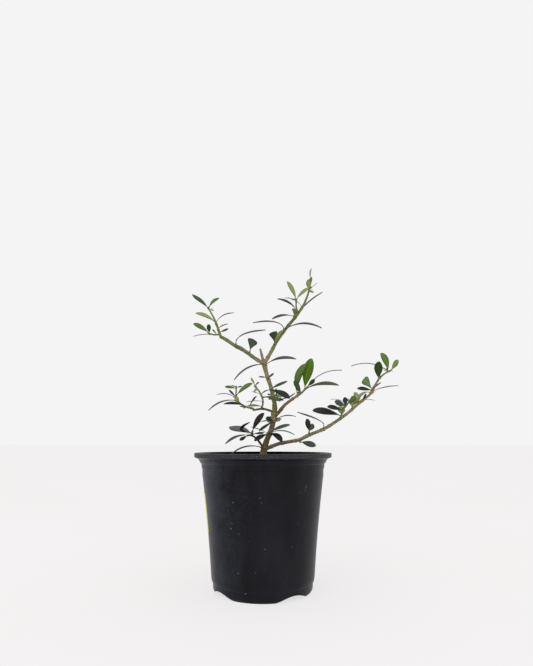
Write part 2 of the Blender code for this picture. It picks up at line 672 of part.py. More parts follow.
def leaf_object(name, verts, faces, material, collection):
    mesh = bpy.data.meshes.new(name)
    mesh.from_pydata([spot * MM for spot in verts], [], faces)
    work = bmesh.new()
    work.from_mesh(mesh)
    if work.calc_volume(signed=True) < 0:
        bmesh.ops.reverse_faces(work, faces=work.faces)
    work.to_mesh(mesh)
    work.free()
    return new_object(name, mesh, material, collection)


def whole_body(mesh):
    """Welds slivers, keeps the largest connected piece and drops loose scraps."""
    work = bmesh.new()
    work.from_mesh(mesh)
    bmesh.ops.remove_doubles(work, verts=work.verts, dist=WELD)
    left = set(work.faces)
    groups = []
    while left:
        group, stack = [], [left.pop()]
        while stack:
            face = stack.pop()
            group.append(face)
            for edge in face.edges:
                for other in edge.link_faces:
                    if other in left:
                        left.remove(other)
                        stack.append(other)
        groups.append(group)
    groups.sort(key=len)
    scraps = [face for group in groups[:-1] for face in group]
    bmesh.ops.delete(work, geom=scraps, context="FACES")
    bmesh.ops.triangulate(work, faces=work.faces)
    work.to_mesh(mesh)
    work.free()


def join(body, pieces):
    """One Boolean union of a body with all of a collection, applied, and the pieces removed."""
    step = body.modifiers.new("join", "BOOLEAN")
    step.operation = "UNION"
    step.solver = "MANIFOLD"
    step.operand_type = "COLLECTION"
    step.collection = pieces
    joined = evaluated_mesh(body)
    body.modifiers.clear()
    body.data = joined
    whole_body(joined)
    for piece in list(pieces.objects):
        bpy.data.objects.remove(piece, do_unlink=True)
    bpy.data.collections.remove(pieces)


def build_foliage(limb_runs, limbs, green, parts):
    stems = build_runs(limb_runs)
    bodies, heaps, stem_trees = {}, {}, {}
    for mass, carried in stems.items():
        heaps[mass] = new_collection(mass + "_pieces")
        bodies[mass] = tube(mass, carried[0][0], SHOOT_ROUNDNESS, green, parts)
        stem_trees[mass] = [tree_of(bodies[mass])]
        for run, _ in carried[1:]:
            fork = tube(mass + "_fork", run, SHOOT_ROUNDNESS, green, heaps[mass])
            stem_trees[mass].append(tree_of(fork))
    grown, skipped = grow_leaves(stems, limbs, stem_trees)
    for mass, shapes in grown.items():
        for k, (verts, faces) in enumerate(shapes, 1):
            leaf_object("%s_leaf_%02d" % (mass, k), verts, faces, green, heaps[mass])
        join(bodies[mass], heaps[mass])
    return skipped


def build_all():
    clear_scene()
    parts = new_collection("olive_bonsai")
    cutters = new_collection("cutters")
    plastic = paint("pot_plastic", (0.016, 0.016, 0.020), 0.5)
    earth = paint("potting_soil", (0.045, 0.028, 0.018), 0.95)
    bark = paint("bark", (0.30, 0.23, 0.13), 0.85)
    green = paint("leaves", (0.07, 0.14, 0.035), 0.55)
    build_pot(plastic, parts, cutters)
    build_soil(earth, parts)
    limb_runs, limbs = build_limbs(bark, parts)
    return build_foliage(limb_runs, limbs, green, parts)


SKIPPED_LEAVES = build_all()
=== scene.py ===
"""The looks of a small young olive bonsai in a round black nursery pot.

Lengths are in millimetres, but for a few said to be in metres, and angles in degrees. The frame is
the solids' own: the origin is the middle of the pot's flat underside, +Z is up, +X is the side of
the long low bough, -Y the front.
Limbs, shoots and leaves grow by the same rows and the same rule as the solids that they replace.
"""

import bpy
import bmesh
from collections import namedtuple
from math import cos, exp, hypot, inf, log, pi, radians, sin, sqrt, tan
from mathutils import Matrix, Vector, noise
from mathutils.bvhtree import BVHTree
from random import Random


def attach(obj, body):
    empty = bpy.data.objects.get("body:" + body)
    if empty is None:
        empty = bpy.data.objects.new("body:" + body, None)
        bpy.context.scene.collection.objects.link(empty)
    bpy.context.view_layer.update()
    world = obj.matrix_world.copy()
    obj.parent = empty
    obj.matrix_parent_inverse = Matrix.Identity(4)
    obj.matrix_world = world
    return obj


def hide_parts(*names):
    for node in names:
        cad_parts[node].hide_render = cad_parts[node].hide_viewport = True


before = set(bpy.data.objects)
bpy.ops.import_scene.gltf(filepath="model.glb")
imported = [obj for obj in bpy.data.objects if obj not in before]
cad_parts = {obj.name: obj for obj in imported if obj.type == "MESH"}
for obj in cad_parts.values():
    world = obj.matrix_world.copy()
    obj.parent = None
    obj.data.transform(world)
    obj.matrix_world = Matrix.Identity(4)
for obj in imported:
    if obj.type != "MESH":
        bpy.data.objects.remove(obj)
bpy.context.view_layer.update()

MM = 0.001
GAP = 0.3
SEED = 11006

# Points of the pot and of its cutters that are this near are one, in metres
WELD = 0.000001
AXIS_WELD = 0.00001

# The photograph's frame and view: the eye in front of the pot, level, with the frame raised
PHOTO_HEIGHT = 666
FOCAL_PIXELS = 489
HORIZON_ROW = 442.5
SENSOR = 36.0
EYE = Vector((3.6, -500.0, 149.1))

# Pot: radius and height down its outer side, from under the lip to the foot
POT_HEIGHT = 138.7
LIP_RADIUS = 69.6
LIP_BORE = 62.4
LIP_DEPTH = 4.6
LIP_ROUND = 1.1
COLLAR = [(65.6, 132.7), (63.7, 129.2), (63.4, 128.6), (62.7, 128.2), (62.4, 127.6), (62.2, 124.2),
          (62.1, 123.5), (61.6, 123.1), (61.5, 122.4), (61.5, 117.0)]
BODY = [(60.8, 111.5), (58.3, 87.5), (56.1, 63.4), (54.2, 39.4), (52.7, 15.3)]
HEEL = [(52.2, 10.8), (51.9, 10.2), (51.2, 9.6), (51.0, 8.6), (50.7, 3.3), (50.3, 1.5), (49.7, 0.5),
        (49.1, 0.0)]
WALL = 1.6
FLOOR = 9.0
POT_SIDES = 180
SHARP_ANGLE = 38

# Four arched gaps under the foot, with a drain hole in each
FOOT_GAPS = (-145.0, -54.0, 35.0, 126.0)
FOOT_GAP_HALF_WIDTH = 18.5
FOOT_GAP_HEIGHT = 5.0
FOOT_GAP_INNER = 25.0
FOOT_GAP_STEPS = 28
DRAIN_RADIUS = 4.0
DRAIN_RING = 34.0
DRAIN_SIDES = 40

# Blank yellow label on the pot's left side: its angles round the pot and its heights
LABEL_TURNS = (197.5, 137.0)
LABEL_HEIGHTS = (59.2, 99.4)
LABEL_CORNER = 2.5
LABEL_THICKNESS = 0.18
LABEL_GRID = (36, 14)

# Dust on the pot: single specks, then films of finer specks as how many, the largest, the middle
# and spread of their turn and of their height, and how many in ten are pale
SPECKS = 420
SPECK_LARGEST = 0.5
FLAKE_SIDES = 7
FILMS = [(1500, 0.34, (-126, 14), (82, 24), 2), (420, 0.42, (-150, 15), (124.6, 3.0), 5),
         (160, 0.42, (-32, 8), (123, 4), 5), (260, 0.34, (-90, 60), (50, 30), 2),
         (460, 0.5, (-90, 70), (136.2, 1.2), 6)]

# Scuffs that stand out: turn round the pot, height, length, width and tilt
SCUFFS = [(-48.0, 108.0, 4.4, 0.5, 82), (-48.8, 104.6, 1.6, 0.4, 60), (-92.2, 99.2, 1.0, 0.6, 20),
          (-90.8, 94.6, 0.8, 0.4, 40), (-117.4, 94.2, 1.8, 0.5, 85), (-124.0, 86.5, 1.0, 0.5, 60),
          (-119.6, 74.9, 1.6, 0.5, 130), (-112.6, 65.2, 2.0, 0.5, 65), (-121.0, 69.5, 2.2, 0.6, 30),
          (-123.5, 64.0, 1.0, 0.5, 30), (-87.8, 51.7, 1.5, 0.4, 20), (-60.0, 52.2, 1.0, 0.5, 40),
          (-114.8, 28.3, 2.0, 0.5, 5), (-108.0, 9.4, 2.2, 0.7, 5), (-97.0, 30.0, 1.3, 0.4, 0)]

# Soil: a damp uneven top with chips of bark, lumps and a few white grains; its crumbs are
# layers of noise, as height, an offset that keeps them apart, and fineness
SOIL_LEVEL = 127.6
SOIL_FLAT = 9.0
SOIL_BUMPS = 46
SOIL_BUMP_HEIGHT = 0.9
SOIL_HIGHEST = 2.6
SOIL_RINGS = 90
SOIL_SIDES = 220
SOIL_GRAINS = 2600
SOIL_CLEAR = 5.5
SOIL_CRUMBS = [(0.55, 0.0, 0.33), (0.35, 5.0, 0.9), (0.18, 9.0, 2.1)]

# Trunk: its middle line with the radius at each point, widest at the root flare
TRUNK = [(-1, 0, 127.9), (0, 0, 134), (1, 0, 141.5), (4, 0, 151.5), (9.5, 0, 166),
         (12, 0, 183.5), (11, 0, 193.5), (8, 0, 206), (3.5, 0, 220), (1, 0, 231.5)]
TRUNK_RADII = [6.4, 4.2, 3.4, 2.8, 2.7, 2.5, 2.1, 2.0, 2.2, 2.6]

# Boughs: middle line from inside the trunk outward, then the radius at its root and at its tip
BOUGHS = {
    "stub": ([(1, 0, 230), (-1, 0, 237.5), (-3, 0, 245.5)], 1.6, 0.95),
    "bough_upper_left": ([(1, 0, 229.5), (-8.5, 1, 235.5), (-18.5, 3, 243), (-28.5, 6, 249),
        (-38, 10, 256), (-44.5, 13, 260)], 1.9, 1.75),
    "bough_upper_right": ([(1, 0, 229.5), (8.5, -1, 242), (14, -3, 252), (23, -6, 264),
        (34, -9, 276.5)], 1.95, 1.5),
    "bough_middle_right": ([(11.5, 0, 175.5), (17, -2, 181), (22, -4, 187), (28.5, -7, 192),
        (34.5, -9, 196)], 2.0, 1.2),
    "bough_lower_right": ([(1.5, 0, 142), (15, -3, 147.5), (27, -6, 150), (37, -8, 152),
        (46, -8, 156.5), (62, -6, 163), (72, -4, 169), (81, -2, 175),
        (89.5, 0, 181.5), (98, 3, 189)], 1.9, 1.45),
    "bough_middle_left": ([(12, 0, 180), (0.5, 1, 183.5), (-10.5, 4, 182.5)], 1.2, 0.95),
    "bough_lower_left": ([(0.5, 0, 143.5), (-5.5, -5, 152), (-9.5, -9, 155.5)], 1.1, 0.9),
    "bough_back_upper": ([(11, 1, 187), (13, 12, 188.5), (13.5, 24, 190.5), (13, 36, 194)],
        1.35, 0.95),
    "bough_back_lower": ([(6.5, 1, 158), (9, 13, 160), (10.5, 26, 163), (11, 38, 168)],
        1.35, 0.95),
}
LIMB_STEP = 3.4
LEADER_ROOT = 1.45
SHOOT_ROOT = 0.9
SHOOT_TIP = 0.72
SPUR_RADIUS = 0.75
SPUR_LENGTH = 2.4
FORK_ROOT = 0.75

# A root is shortened by small steps until the rings of points round it clear what is near it
SEAT_REACH = 16.0
SEAT_MOST = 12.0
SEAT_STEP = 0.1
RING_SIDES = 10

# Places of leaves along a spur, from its end, and near a shoot's tip
SPUR_LEAF, SPUR_LEAF_STEP = 0.84, 0.17
LAST_LEAF, LAST_LEAF_STEP = 0.985, 0.013

# How a leaf shows itself from the front: its lean away from the front, the turn of the blade
# from edge-on, its width as a part of its length, how far it bows up as a part of its reach,
# where the bow is highest and whether the tip is blunt
Show = namedtuple("Show", "lean turn width bow peak blunt", defaults=(0.5, False))
EDGE = Show(15, 16, 0.21, 0.06)
ARC = Show(-12, 30, 0.20, 0.13)
BOW = Show(6, 20, 0.21, 0.15)
HOOP = Show(6, 20, 0.21, 0.18, 0.34)
HOOK = Show(15, 22, 0.21, 0.13, 0.25)
SIDE = Show(38, 28, 0.21, 0.10)
SAG = Show(25, 20, 0.21, -0.12)
HALF = Show(30, 45, 0.19, 0.04)
BLADE = Show(-12, 38, 0.20, 0.10)
ARCH = Show(-30, 50, 0.20, 0.11)
LANCE = Show(-35, 60, 0.21, 0.07)
FACE = Show(-40, 65, 0.23, 0.08)
BROAD = Show(-36, 76, 0.30, 0.04)
ROUND = Show(-40, 68, 0.36, 0.04)
PADDLE = Show(-40, 68, 0.25, 0.12)
FRONT = Show(-58, 72, 0.21, 0.05)
FAN = Show(-60, 80, 0.42, 0.02, 0.5, True)
WEDGE = Show(-40, 75, 0.40, 0.04, 0.5, True)
AWAY = Show(54, 45, 0.24, 0.05)
THIN = Show(8, 5, 0.14, 0.14)
LONG = Show(-30, 68, 0.20, 0.15)
WIDE = Show(-38, 72, 0.42, 0.05)
DISC = Show(-40, 75, 0.60, 0.02)
DROOP = Show(-40, 65, 0.32, 0.20)
FOLD = Show(-20, 50, 0.24, 0.20, 0.36)
CURL = Show(-20, 64, 0.32, -0.90)

# Leafy shoots: the limb, the place on it (1 is its tip), the line that the shoot takes from
# there, and its leaves. A leaf is its place along the shoot, then its heading and its reach as
# seen from the front (0 to the right, 90 up), and how it shows itself. The row ends with the
# tones dealt to the spray's leaves in their order, those of its second stem last.
SHOOTS = {
    "upper_left": ("bough_upper_left", 1, [(-48.5, 15, 272), (-53, 17, 282.5), (-58, 19, 291.5)], [
        (1.0, 139, 23, HALF), (1.0, 46, 16, LONG), (0.41, 153, 24.5, ARCH), (0.45, 28, 22, BOW),
        (0.23, 26, 12, SIDE), (0.1, 22, 10.5, HALF)],
        "deep mid light slate olive slate grey deep mid olive"),
    "top": ("bough_upper_right", 1, [(39, -12, 283.5), (43, -13, 291.5), (46, -13, 300.5),
        (48.5, -12, 313.5)], [
        (0.06, 41, 32, EDGE), (0.22, 151, 20, BOW), (0.65, 45, 12, EDGE), (0.67, 97, 11, WIDE),
        (0.7, 80, 12.5, FACE), (0.95, 88, 11.5, BLADE)],
        "olive grey pale light deep pale deep light light"),
    "middle_right": ("bough_middle_right", 1, [(39.5, -11, 199.5), (45, -13, 205.5)], [
        (0.03, 75, 33, LONG), (0.3, 122, 14, FRONT), (0.6, 8, 35, ARC), (0.65, 77, 32, BROAD),
        (0.95, 42, 10, ROUND), (1.0, 25, 37.5, THIN)], "mid deep olive fresh deep grey"),
    "right_outer": ("bough_lower_right", 1, [(106, 5, 195), (112.5, 7, 201), (119.5, 8, 214),
        (127, 10, 221), (135, 12, 225)], [
        (0.03, 120, 12, ROUND), (0.33, 209, 20, FOLD), (0.1, 60, 8, HALF), (0.12, -2, 12, EDGE),
        (0.39, 126, 15.5, WEDGE), (0.39, 172, 16, LANCE), (0.38, 12, 28, EDGE), (0.36, 45, 14, SIDE),
        (0.37, 58, 14, SIDE), (0.65, 87, 18.5, WIDE), (0.92, 171.5, 39.5, THIN), (0.9, 111, 21, PADDLE),
        (1.0, 56, 13, ROUND)], "pale pale black grey sage black grey twig twig deep grey fresh light"),
    "right_inner": ("bough_lower_right", 0.77, [(80, -10, 181), (84.5, -14, 188)], [
        (0.02, 169, 30, LANCE), (0.1, 95, 9.5, DISC), (0.3, 62, 11, FACE), (0.45, 165, 16, FACE),
        (0.8, 100, 9, WIDE), (0.8, 158, 12, ROUND), (1.0, 40, 11, ROUND), (0.9, 162, 17, THIN)],
        "black pale pale black plum slate mid grey"),
    "middle_left": ("bough_middle_left", 1, [(-18.5, 6, 186.5), (-24.5, 8, 190.5), (-28, 10, 195.5),
        (-28, 11, 207)], [
        (0.05, 170, 12, HALF), (0.1, 58, 14, SIDE), (0.2, 173, 24, BLADE), (0.55, 198, 32, BOW),
        (0.64, 169, 21, BOW), (0.68, 135, 11, HALF), (0.7, 39, 22, ARCH), (1.0, 171, 12, FACE),
        (1.0, 155, 5.5, SIDE), (1.0, 14, 6, SIDE)],
        "grey black black slate grey slate mid mid slate slate"),
    "middle_left_rising": ("bough_middle_left", 0.52, [(0, -4, 191.5), (-3, -8, 199.5),
        (-8.5, -10, 206.5)], [
        (0.05, 176, 15, HALF), (0.27, 182, 17, EDGE), (0.45, -13, 19, ARCH), (0.55, 161, 10, EDGE),
        (1.0, 115, 9, HALF), (1.0, 38, 5.5, SIDE), (0.93, -62, 5, HALF), (0.88, 245, 5, HALF)],
        "grey grey olive deep light deep pale pale"),
    "lower_left": ("bough_lower_left", 1, [(-12.5, -11, 156.5), (-16, -13, 155.5)], [
        (0.55, 200, 26, ARC), (0.9, 211, 9, ROUND)], "slate black slate black black black"),
    "back_upper": ("bough_back_upper", 1, [(12.5, 45, 198), (12, 53, 204)], [], "mid deep light deep"),
    "back_lower": ("bough_back_lower", 1, [(11.5, 46, 173), (12, 54, 178)], [], "deep black mid deep"),
}

# Second stems of three shoots: the place on the shoot, then as above
FORKS = {
    "upper_left": (0.04, [(-51, 8, 261), (-56, 3, 261.5)], [
        (0.6, 185, 21, EDGE), (0.95, 97, 9.5, WIDE), (1.0, 149, 19, FACE), (0.3, 130, 7, SIDE)]),
    "top": (0.04, [(33, -15, 284.5), (33, -18, 290.5)], [
        (0.2, 149, 23.5, ARC), (0.9, 116, 21, LANCE), (0.97, 43, 17, LANCE)]),
    "lower_left": (0.04, [(-10.5, -12, 158.5), (-11, -14, 161)], [
        (0.4, 163, 24, AWAY), (0.7, 58, 22.5, FACE), (0.6, 100, 11, CURL), (0.35, 6, 12, HALF)]),
}

# Short spurs that stand on a limb: the limb, the place on it, the way that the spur points,
# its leaves as heading, reach and how they show themselves, and their tones
SPURS = {
    "upper_left_root": ("bough_upper_left", 0.26, (0.1, -0.9, 0.6), [(75, 13, FAN)], "deep"),
    "upper_left_joint": ("bough_upper_left", 0.6, (0.1, -1, 0.2), [(26, 34, HOOP), (-33, 13, SIDE)],
        "slate grey"),
    "upper_right_root": ("bough_upper_right", 0.31, (0, -1, 0.3), [(96, 12, FAN), (58, 16, FACE)],
        "deep light"),
    "upper_right_joint": ("bough_upper_right", 0.63, (0, -1, 0.1), [(167, 32, HOOP), (3, 38, BOW)],
        "slate slate"),
    "upper_right_tip": ("bough_upper_right", 0.94, (-0.3, -1, 0.2), [(187, 22, ARC), (72, 7.5, FAN)],
        "slate mid"),
    "fork": ("trunk", 0.96, (0.3, -1, 0.2), [(10, 31, ARC), (206, 36, BOW)], "slate slate"),
    "trunk_upper": ("trunk", 0.825, (-0.2, -1, 0.2), [(172, 9, SIDE), (38, 8, HALF)], "slate slate"),
    "trunk_middle": ("trunk", 0.72, (-0.5, -1, 0), [(26, 20, HALF), (-24, 22, FACE), (205, 10, SIDE)],
        "deep black black"),
    "trunk_heart": ("trunk", 0.63, (0.3, -1, 0.1), [(16, 21, SAG), (-12, 9, HALF)], "slate black"),
    "trunk_low": ("trunk", 0.42, (0.1, -1, -0.1), [(12, 23, BOW), (159, 9, ROUND), (184, 14, SIDE),
        (214, 18, HALF)], "slate black grey black"),
    "trunk_lower": ("trunk", 0.29, (-0.3, -1, 0), [(22, 24, SIDE), (-2, 27, BOW), (-31, 16, DROOP),
        (158, 19, EDGE), (207, 16, FACE)], "slate grey black slate black"),
    "trunk_foot": ("trunk", 0.145, (-0.6, -1, 0.2), [(193.5, 32.5, BOW)], "slate"),
    "lower_right_under": ("bough_lower_right", 0.305, (0.1, -1, -0.6), [(-15, 16.5, BROAD)], "slate"),
    "lower_right_pair": ("bough_lower_right", 0.41, (-0.1, -0.7, 1), [(101, 13, ROUND), (66, 9, DISC)],
        "black olive"),
    "lower_right_joint": ("bough_lower_right", 0.56, (0, -1, 0.4), [(150, 31, HOOK)], "slate"),
    "lower_right_tip": ("bough_lower_right", 0.91, (-0.1, -1, 0.6), [(50, 13, FACE), (82, 12, ROUND),
        (120, 11, FACE)], "pale pale grey"),
}

# Leaves: part of the full width at places along the blade, and the stalk
LEAF_OUTLINE = [(0.3, 0.58), (0.52, 0.94), (0.74, 0.98), (0.91, 0.58)]
BLUNT_OUTLINE = [(0.3, 0.34), (0.58, 0.68), (0.84, 1.0), (0.97, 0.86)]
LEAF_NARROWEST, LEAF_WIDEST = 3.2, 10.2
LEAF_THICKNESS = 0.022
LEAF_THINNEST = 0.3
LEAN_SPREAD = 8
STEEPEST_LEAN = 60
STALK = 0.10
STALK_RADIUS = 0.42
STALK_DEPTH = 1.3
LEAF_CLEARANCE = 0.35
BLADE_CLEARANCE = 0.1
BLADE_START = 0.3

# Leaves of the shoots behind the trunk: pairs that point away, each turned a quarter from the last
BACK_PAIRS = 5
BACK_REACH = 9.0

# Fine surface of the limbs: ring spacing, sides, and the depth of the bark's relief. Nodes, the
# trunk's ridged flare and the foot of each bough swell by a share of the radius, and a shoot's
# foot is sunk into the bark that bears it.
BARK_STEP = 0.55
BARK_SIDES = 26
BARK_RELIEF = 0.055
NODE_SPACING = 13.0
NODE_SWELLING = 0.16
NODE_LENGTH = 1.3
FLARE_RIDGES = 0.16
FLARE_HEIGHT = 9.0
FOOT_SWELLING = 0.28
FOOT_LENGTH = 2.2
SHOOT_SIDES = 12
SHOOT_STEP = 0.9
SHOOT_SWELLING = 0.22
SHOOT_SUNK = 1.4

# The floor's size in metres, the share of its light that shines through it, and what lamps face
FLOOR_SIZE = 60.0
FLOOR_GLOW = 0.72
LIGHT_AIM = Vector((0.0, 0.0, 0.15))

# Fine leaves: stations along the blade, and where the points of a cross-section lie
BLADE_STATIONS = (0, 0.05, 0.10, 0.15, 0.21, 0.28, 0.36, 0.44, 0.52, 0.60, 0.68, 0.76, 0.83, 0.89,
                  0.94, 0.975, 1.0)
BLADE_TOP = (-1.0, -0.8, -0.45, -0.09, 0.09, 0.45, 0.8, 1.0)
BLADE_UNDER = (0.8, 0.45, 0.09, -0.09, -0.45, -0.8)
BLADE_SKEW = 1.36
BLADE_FULLNESS = 0.59
BLUNT_SKEW = 3.2
BLUNT_FULLNESS = 0.45
BLADE_CUP = 0.13
BLADE_WAVE = 0.025
EDGE_ON_TURN = 24
EDGE_ON_WIDTH = 0.7
FACING_TURN = 40
STALK_END = 0.11

# Tiny leaf pairs: the shortest leaf that has one in its axil, the share of leaves without, the
# pair's width, and the shortest stem that has such pairs and swollen nodes
SPRIG_LEAF = 12
SPRIG_LESS = 0.45
SPRIG_WIDTH = 0.55
SHORT_STEM = 6

# Buds, from the least to the greatest length, and knots: places along each, and its share of
# the full radius there
BUD_LENGTHS = (1.2, 2.0)
BUD_RADIUS = 0.42
BUD_OUTLINE = [(0.3, 1.0), (0.65, 0.75), (0.9, 0.3), (1.0, 0.08)]
KNOT_OUTLINE = [(-1.0, 0.55), (-0.6, 0.8), (-0.2, 0.97), (0.15, 1.0), (0.55, 0.82), (1.0, 0.5)]

# Colours, as the eye sees them
LEAF_TONES = {
    "black": ("#22251f", "#3b3e39"),
    "slate": ("#414944", "#616b64"),
    "olive": ("#48513a", "#666f50"),
    "deep": ("#314a1f", "#5c6e45"),
    "mid": ("#587636", "#7b8c57"),
    "fresh": ("#5b7d1f", "#849c4a"),
    "light": ("#879857", "#9ea876"),
    "pale": ("#8f9968", "#a8ae84"),
    "grey": ("#7a8474", "#98a190"),
    "sage": ("#617f4c", "#8a9a72"),
    "plum": ("#2e2b38", "#4a4752"),
    "twig": ("#5f4a37", "#6c5a46"),
}

# Tones of the tiny leaf pairs, and the stalks of dark leaves and of all others
SPRIG_TONES = ("mid", "light", "deep", "fresh")
DARK_LEAVES = ("black", "slate", "olive", "plum", "twig")
DARK_STALK = ("#5b5e42", "#3f4236")
GREEN_STALK = ("#8f9a5c", "#6c7844")

# Bark tones, each as a colour and the darker colour that breaks it up
BARK_TONES = {
    "foot": ("#79753a", "#4d4c24"),
    "brown": ("#84734b", "#51482f"),
    "tan": ("#a0906a", "#6b6044"),
    "ash": ("#a29578", "#726852"),
    "rose": ("#a0836d", "#6a5345"),
    "olive": ("#83885c", "#585f3d"),
    "dry": ("#98926d", "#5d583f"),
    "green": ("#6d7a4c", "#475231"),
    "dark": ("#55492f", "#30291c"),
    "plum": ("#957f70", "#6a5a50"),
    "rust": ("#8c5a3c", "#5e3b2a"),
    "amber": ("#b98a3a", "#7d5a26"),
    "straw": ("#a9a765", "#7f7f47"),
}

# The run of bark tones along each limb, from its root to its tip
LIMB_TONES = {
    "trunk": "foot foot brown brown brown plum brown tan olive foot olive tan olive tan ash tan ash",
    "stub": "tan plum plum",
    "bough_upper_left": "tan olive olive green olive green",
    "bough_upper_right": "ash dry olive dry olive green",
    "bough_middle_right": "brown brown rose rose tan",
    "bough_lower_right": "brown plum plum tan tan olive dry dry olive dry dry tan",
    "bough_middle_left": "brown dark olive",
    "bough_lower_left": "foot dark dark",
    "bough_back_upper": "brown olive green",
    "bough_back_lower": "brown olive green",
}

# Green wood: warm on these shoots, old on the others of the trunk and low boughs, else young
WARM_SHOOTS = ("foliage_middle_right", "foliage_right_outer", "foliage_middle_left_rising")
WOOD_TONES = {
    "young": ("#7f8a45", "#586335"),
    "old": ("#5d5b3a", "#3d3c28"),
    "warm": ("#938a62", "#635a40"),
}
BUD_TONE = ("#8f9750", "#676f38")

# Knots that stand out: the limb or shoot, the place on it, the radius, the half-length and the tone
KNOTS = [("foliage_right_outer", 0.36, 1.9, 2.6, "amber"), ("foliage_middle_left", 0.62, 2.4, 3.2, "straw"),
         ("foliage_middle_left_rising", 0.99, 1.3, 1.6, "straw"),
         ("foliage_upper_left", 0.04, 1.7, 2.0, "straw"),
         ("foliage_middle_left_rising", 0.55, 1.3, 1.6, "straw"), ("foliage_top", 0.03, 1.7, 2.2, "straw"),
         ("foliage_right_inner", 0.03, 1.5, 1.8, "straw"), ("bough_lower_right", 0.565, 2.1, 1.7, "straw"),
         ("bough_upper_left", 0.6, 1.9, 1.6, "straw"), ("bough_upper_right", 0.65, 1.9, 1.6, "olive"),
         ("bough_middle_right", 0.80, 1.75, 1.2, "rust"), ("bough_middle_right", 0.99, 1.7, 2.0, "tan"),
         ("foliage_right_outer", 0.09, 1.6, 2.2, "straw"), ("bough_lower_right", 0.415, 1.9, 1.3, "brown")]


def linear(code):
    """A colour code of six digits as the light that a shader reads."""
    parts = [int(code[k:k + 2], 16) / 255 for k in (1, 3, 5)]
    return *(c / 12.92 if c <= 0.04045 else ((c + 0.055) / 1.055) ** 2.4 for c in parts), 1.0


def shade(code, share):
    """A colour code made darker or lighter by a share."""
    parts = [min(255, round(int(code[k:k + 2], 16) * share)) for k in (1, 3, 5)]
    return "#%02x%02x%02x" % tuple(parts)


def placed(name, data):
    """A new object in the scene."""
    thing = bpy.data.objects.new(name, data)
    bpy.context.scene.collection.objects.link(thing)
    return thing


def fed(tree, kind, source, into=0, **settings):
    """The first output of a new shader node that a source feeds."""
    node = tree.nodes.new(kind)
    for key, value in settings.items():
        node.inputs[key].default_value = value
    tree.links.new(source, node.inputs[into])
    return node.outputs[0]


def ranged(tree, source, *ends):
    """A value carried from one range to another, given by the two ends of each."""
    names = ("From Min", "From Max", "To Min", "To Max")
    return fed(tree, "ShaderNodeMapRange", source, **dict(zip(names, ends)))


def mottled(name, first, second, grain=600.0, stretch=(1, 1, 1), rough=0.5, relief=0.1,
            relief_grain=2500.0, relief_depth=0.0002, share=0.5, soft=0.12, specular=0.5):
    """A surface that wanders between two colours, with a fine grain in its relief."""
    made = bpy.data.materials.new(name)
    made.use_nodes = True
    tree = made.node_tree
    shader = tree.nodes["Principled BSDF"]
    shader.inputs["Specular IOR Level"].default_value = specular
    place = tree.nodes.new("ShaderNodeTexCoord").outputs["Object"]
    scaled = fed(tree, "ShaderNodeMapping", place, Scale=stretch)
    patches = fed(tree, "ShaderNodeTexNoise", scaled, Scale=grain, Detail=4.0, Roughness=0.6)
    colour = fed(tree, "ShaderNodeValToRGB", patches)
    for stop, side, code in zip(colour.node.color_ramp.elements, (-soft, soft), (second, first)):
        stop.position = share + side
        stop.color = linear(code)
    fine = fed(tree, "ShaderNodeTexNoise", scaled, Scale=relief_grain, Detail=3.0)
    bump = fed(tree, "ShaderNodeBump", fine, "Height", Strength=relief, Distance=relief_depth)
    tree.links.new(colour, shader.inputs["Base Color"])
    tree.links.new(ranged(tree, patches, 0, 1, rough - 0.08, rough + 0.08), shader.inputs["Roughness"])
    tree.links.new(bump, shader.inputs["Normal"])
    return made


class Heap:
    """Verts, faces and slots of many small bodies that become one piece."""

    def __init__(self):
        self.verts, self.faces, self.slots = [], [], []

    def add(self, verts, faces, slots=0):
        base = len(self.verts)
        self.verts += verts
        self.faces += [tuple(base + i for i in face) for face in faces]
        self.slots += slots if isinstance(slots, list) else [slots] * len(faces)


def as_piece(name, heap, materials, rounded=True):
    """A mesh piece that rides on the part, from a heap in millimetres."""
    mesh = bpy.data.meshes.new(name)
    mesh.from_pydata([spot * MM for spot in heap.verts], [], heap.faces)
    for made in materials:
        mesh.materials.append(made)
    mesh.polygons.foreach_set("material_index", heap.slots)
    if rounded:
        mesh.shade_smooth()
    thing = placed(name, mesh)
    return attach(thing, "root")


def band(rings, sides, base=0, outward=True):
    """Quads between neighbouring rings of points."""
    quads = []
    for i in range(base, base + (rings - 1) * sides, sides):
        for k in range(sides):
            a, b = i + k, i + (k + 1) % sides
            quads.append((a, b, b + sides, a + sides) if outward else (a, a + sides, b + sides, b))
    return quads


def evaluated_mesh(thing):
    """The mesh of an object as its modifiers or its curve settings make it."""
    bpy.context.view_layer.update()
    depsgraph = bpy.context.evaluated_depsgraph_get()
    return bpy.data.meshes.new_from_object(thing.evaluated_get(depsgraph))


def off_axis(radius, turn, height):
    return Vector((radius * cos(radians(turn)), radius * sin(radians(turn)), height))


def pot_profile():
    """From the middle of the floor up the inside, over the lip and down the outside."""
    outside = COLLAR + BODY
    inside = [(radius - WALL, height - 0.6) for radius, height in reversed(outside) if height > FLOOR]
    corner = [(0.0, FLOOR), (inside[0][0] - 0.2, FLOOR)]
    bore = [(LIP_BORE, POT_HEIGHT - 0.7), (LIP_BORE + 0.3, POT_HEIGHT - 0.2), (LIP_BORE + 0.8, POT_HEIGHT)]
    shoulder = [(LIP_RADIUS - LIP_ROUND * (1 - cos(a)), POT_HEIGHT - LIP_ROUND * (1 - sin(a)))
                for a in map(radians, (90, 70, 50, 30, 10, -10))]
    low = POT_HEIGHT - LIP_DEPTH
    under_lip = [(LIP_RADIUS, low + 0.8), (LIP_RADIUS - 0.15, low + 0.3), (LIP_RADIUS - 0.7, low)]
    return corner + inside + bore + shoulder + under_lip + outside + HEEL + [(0.0, 0.0)]


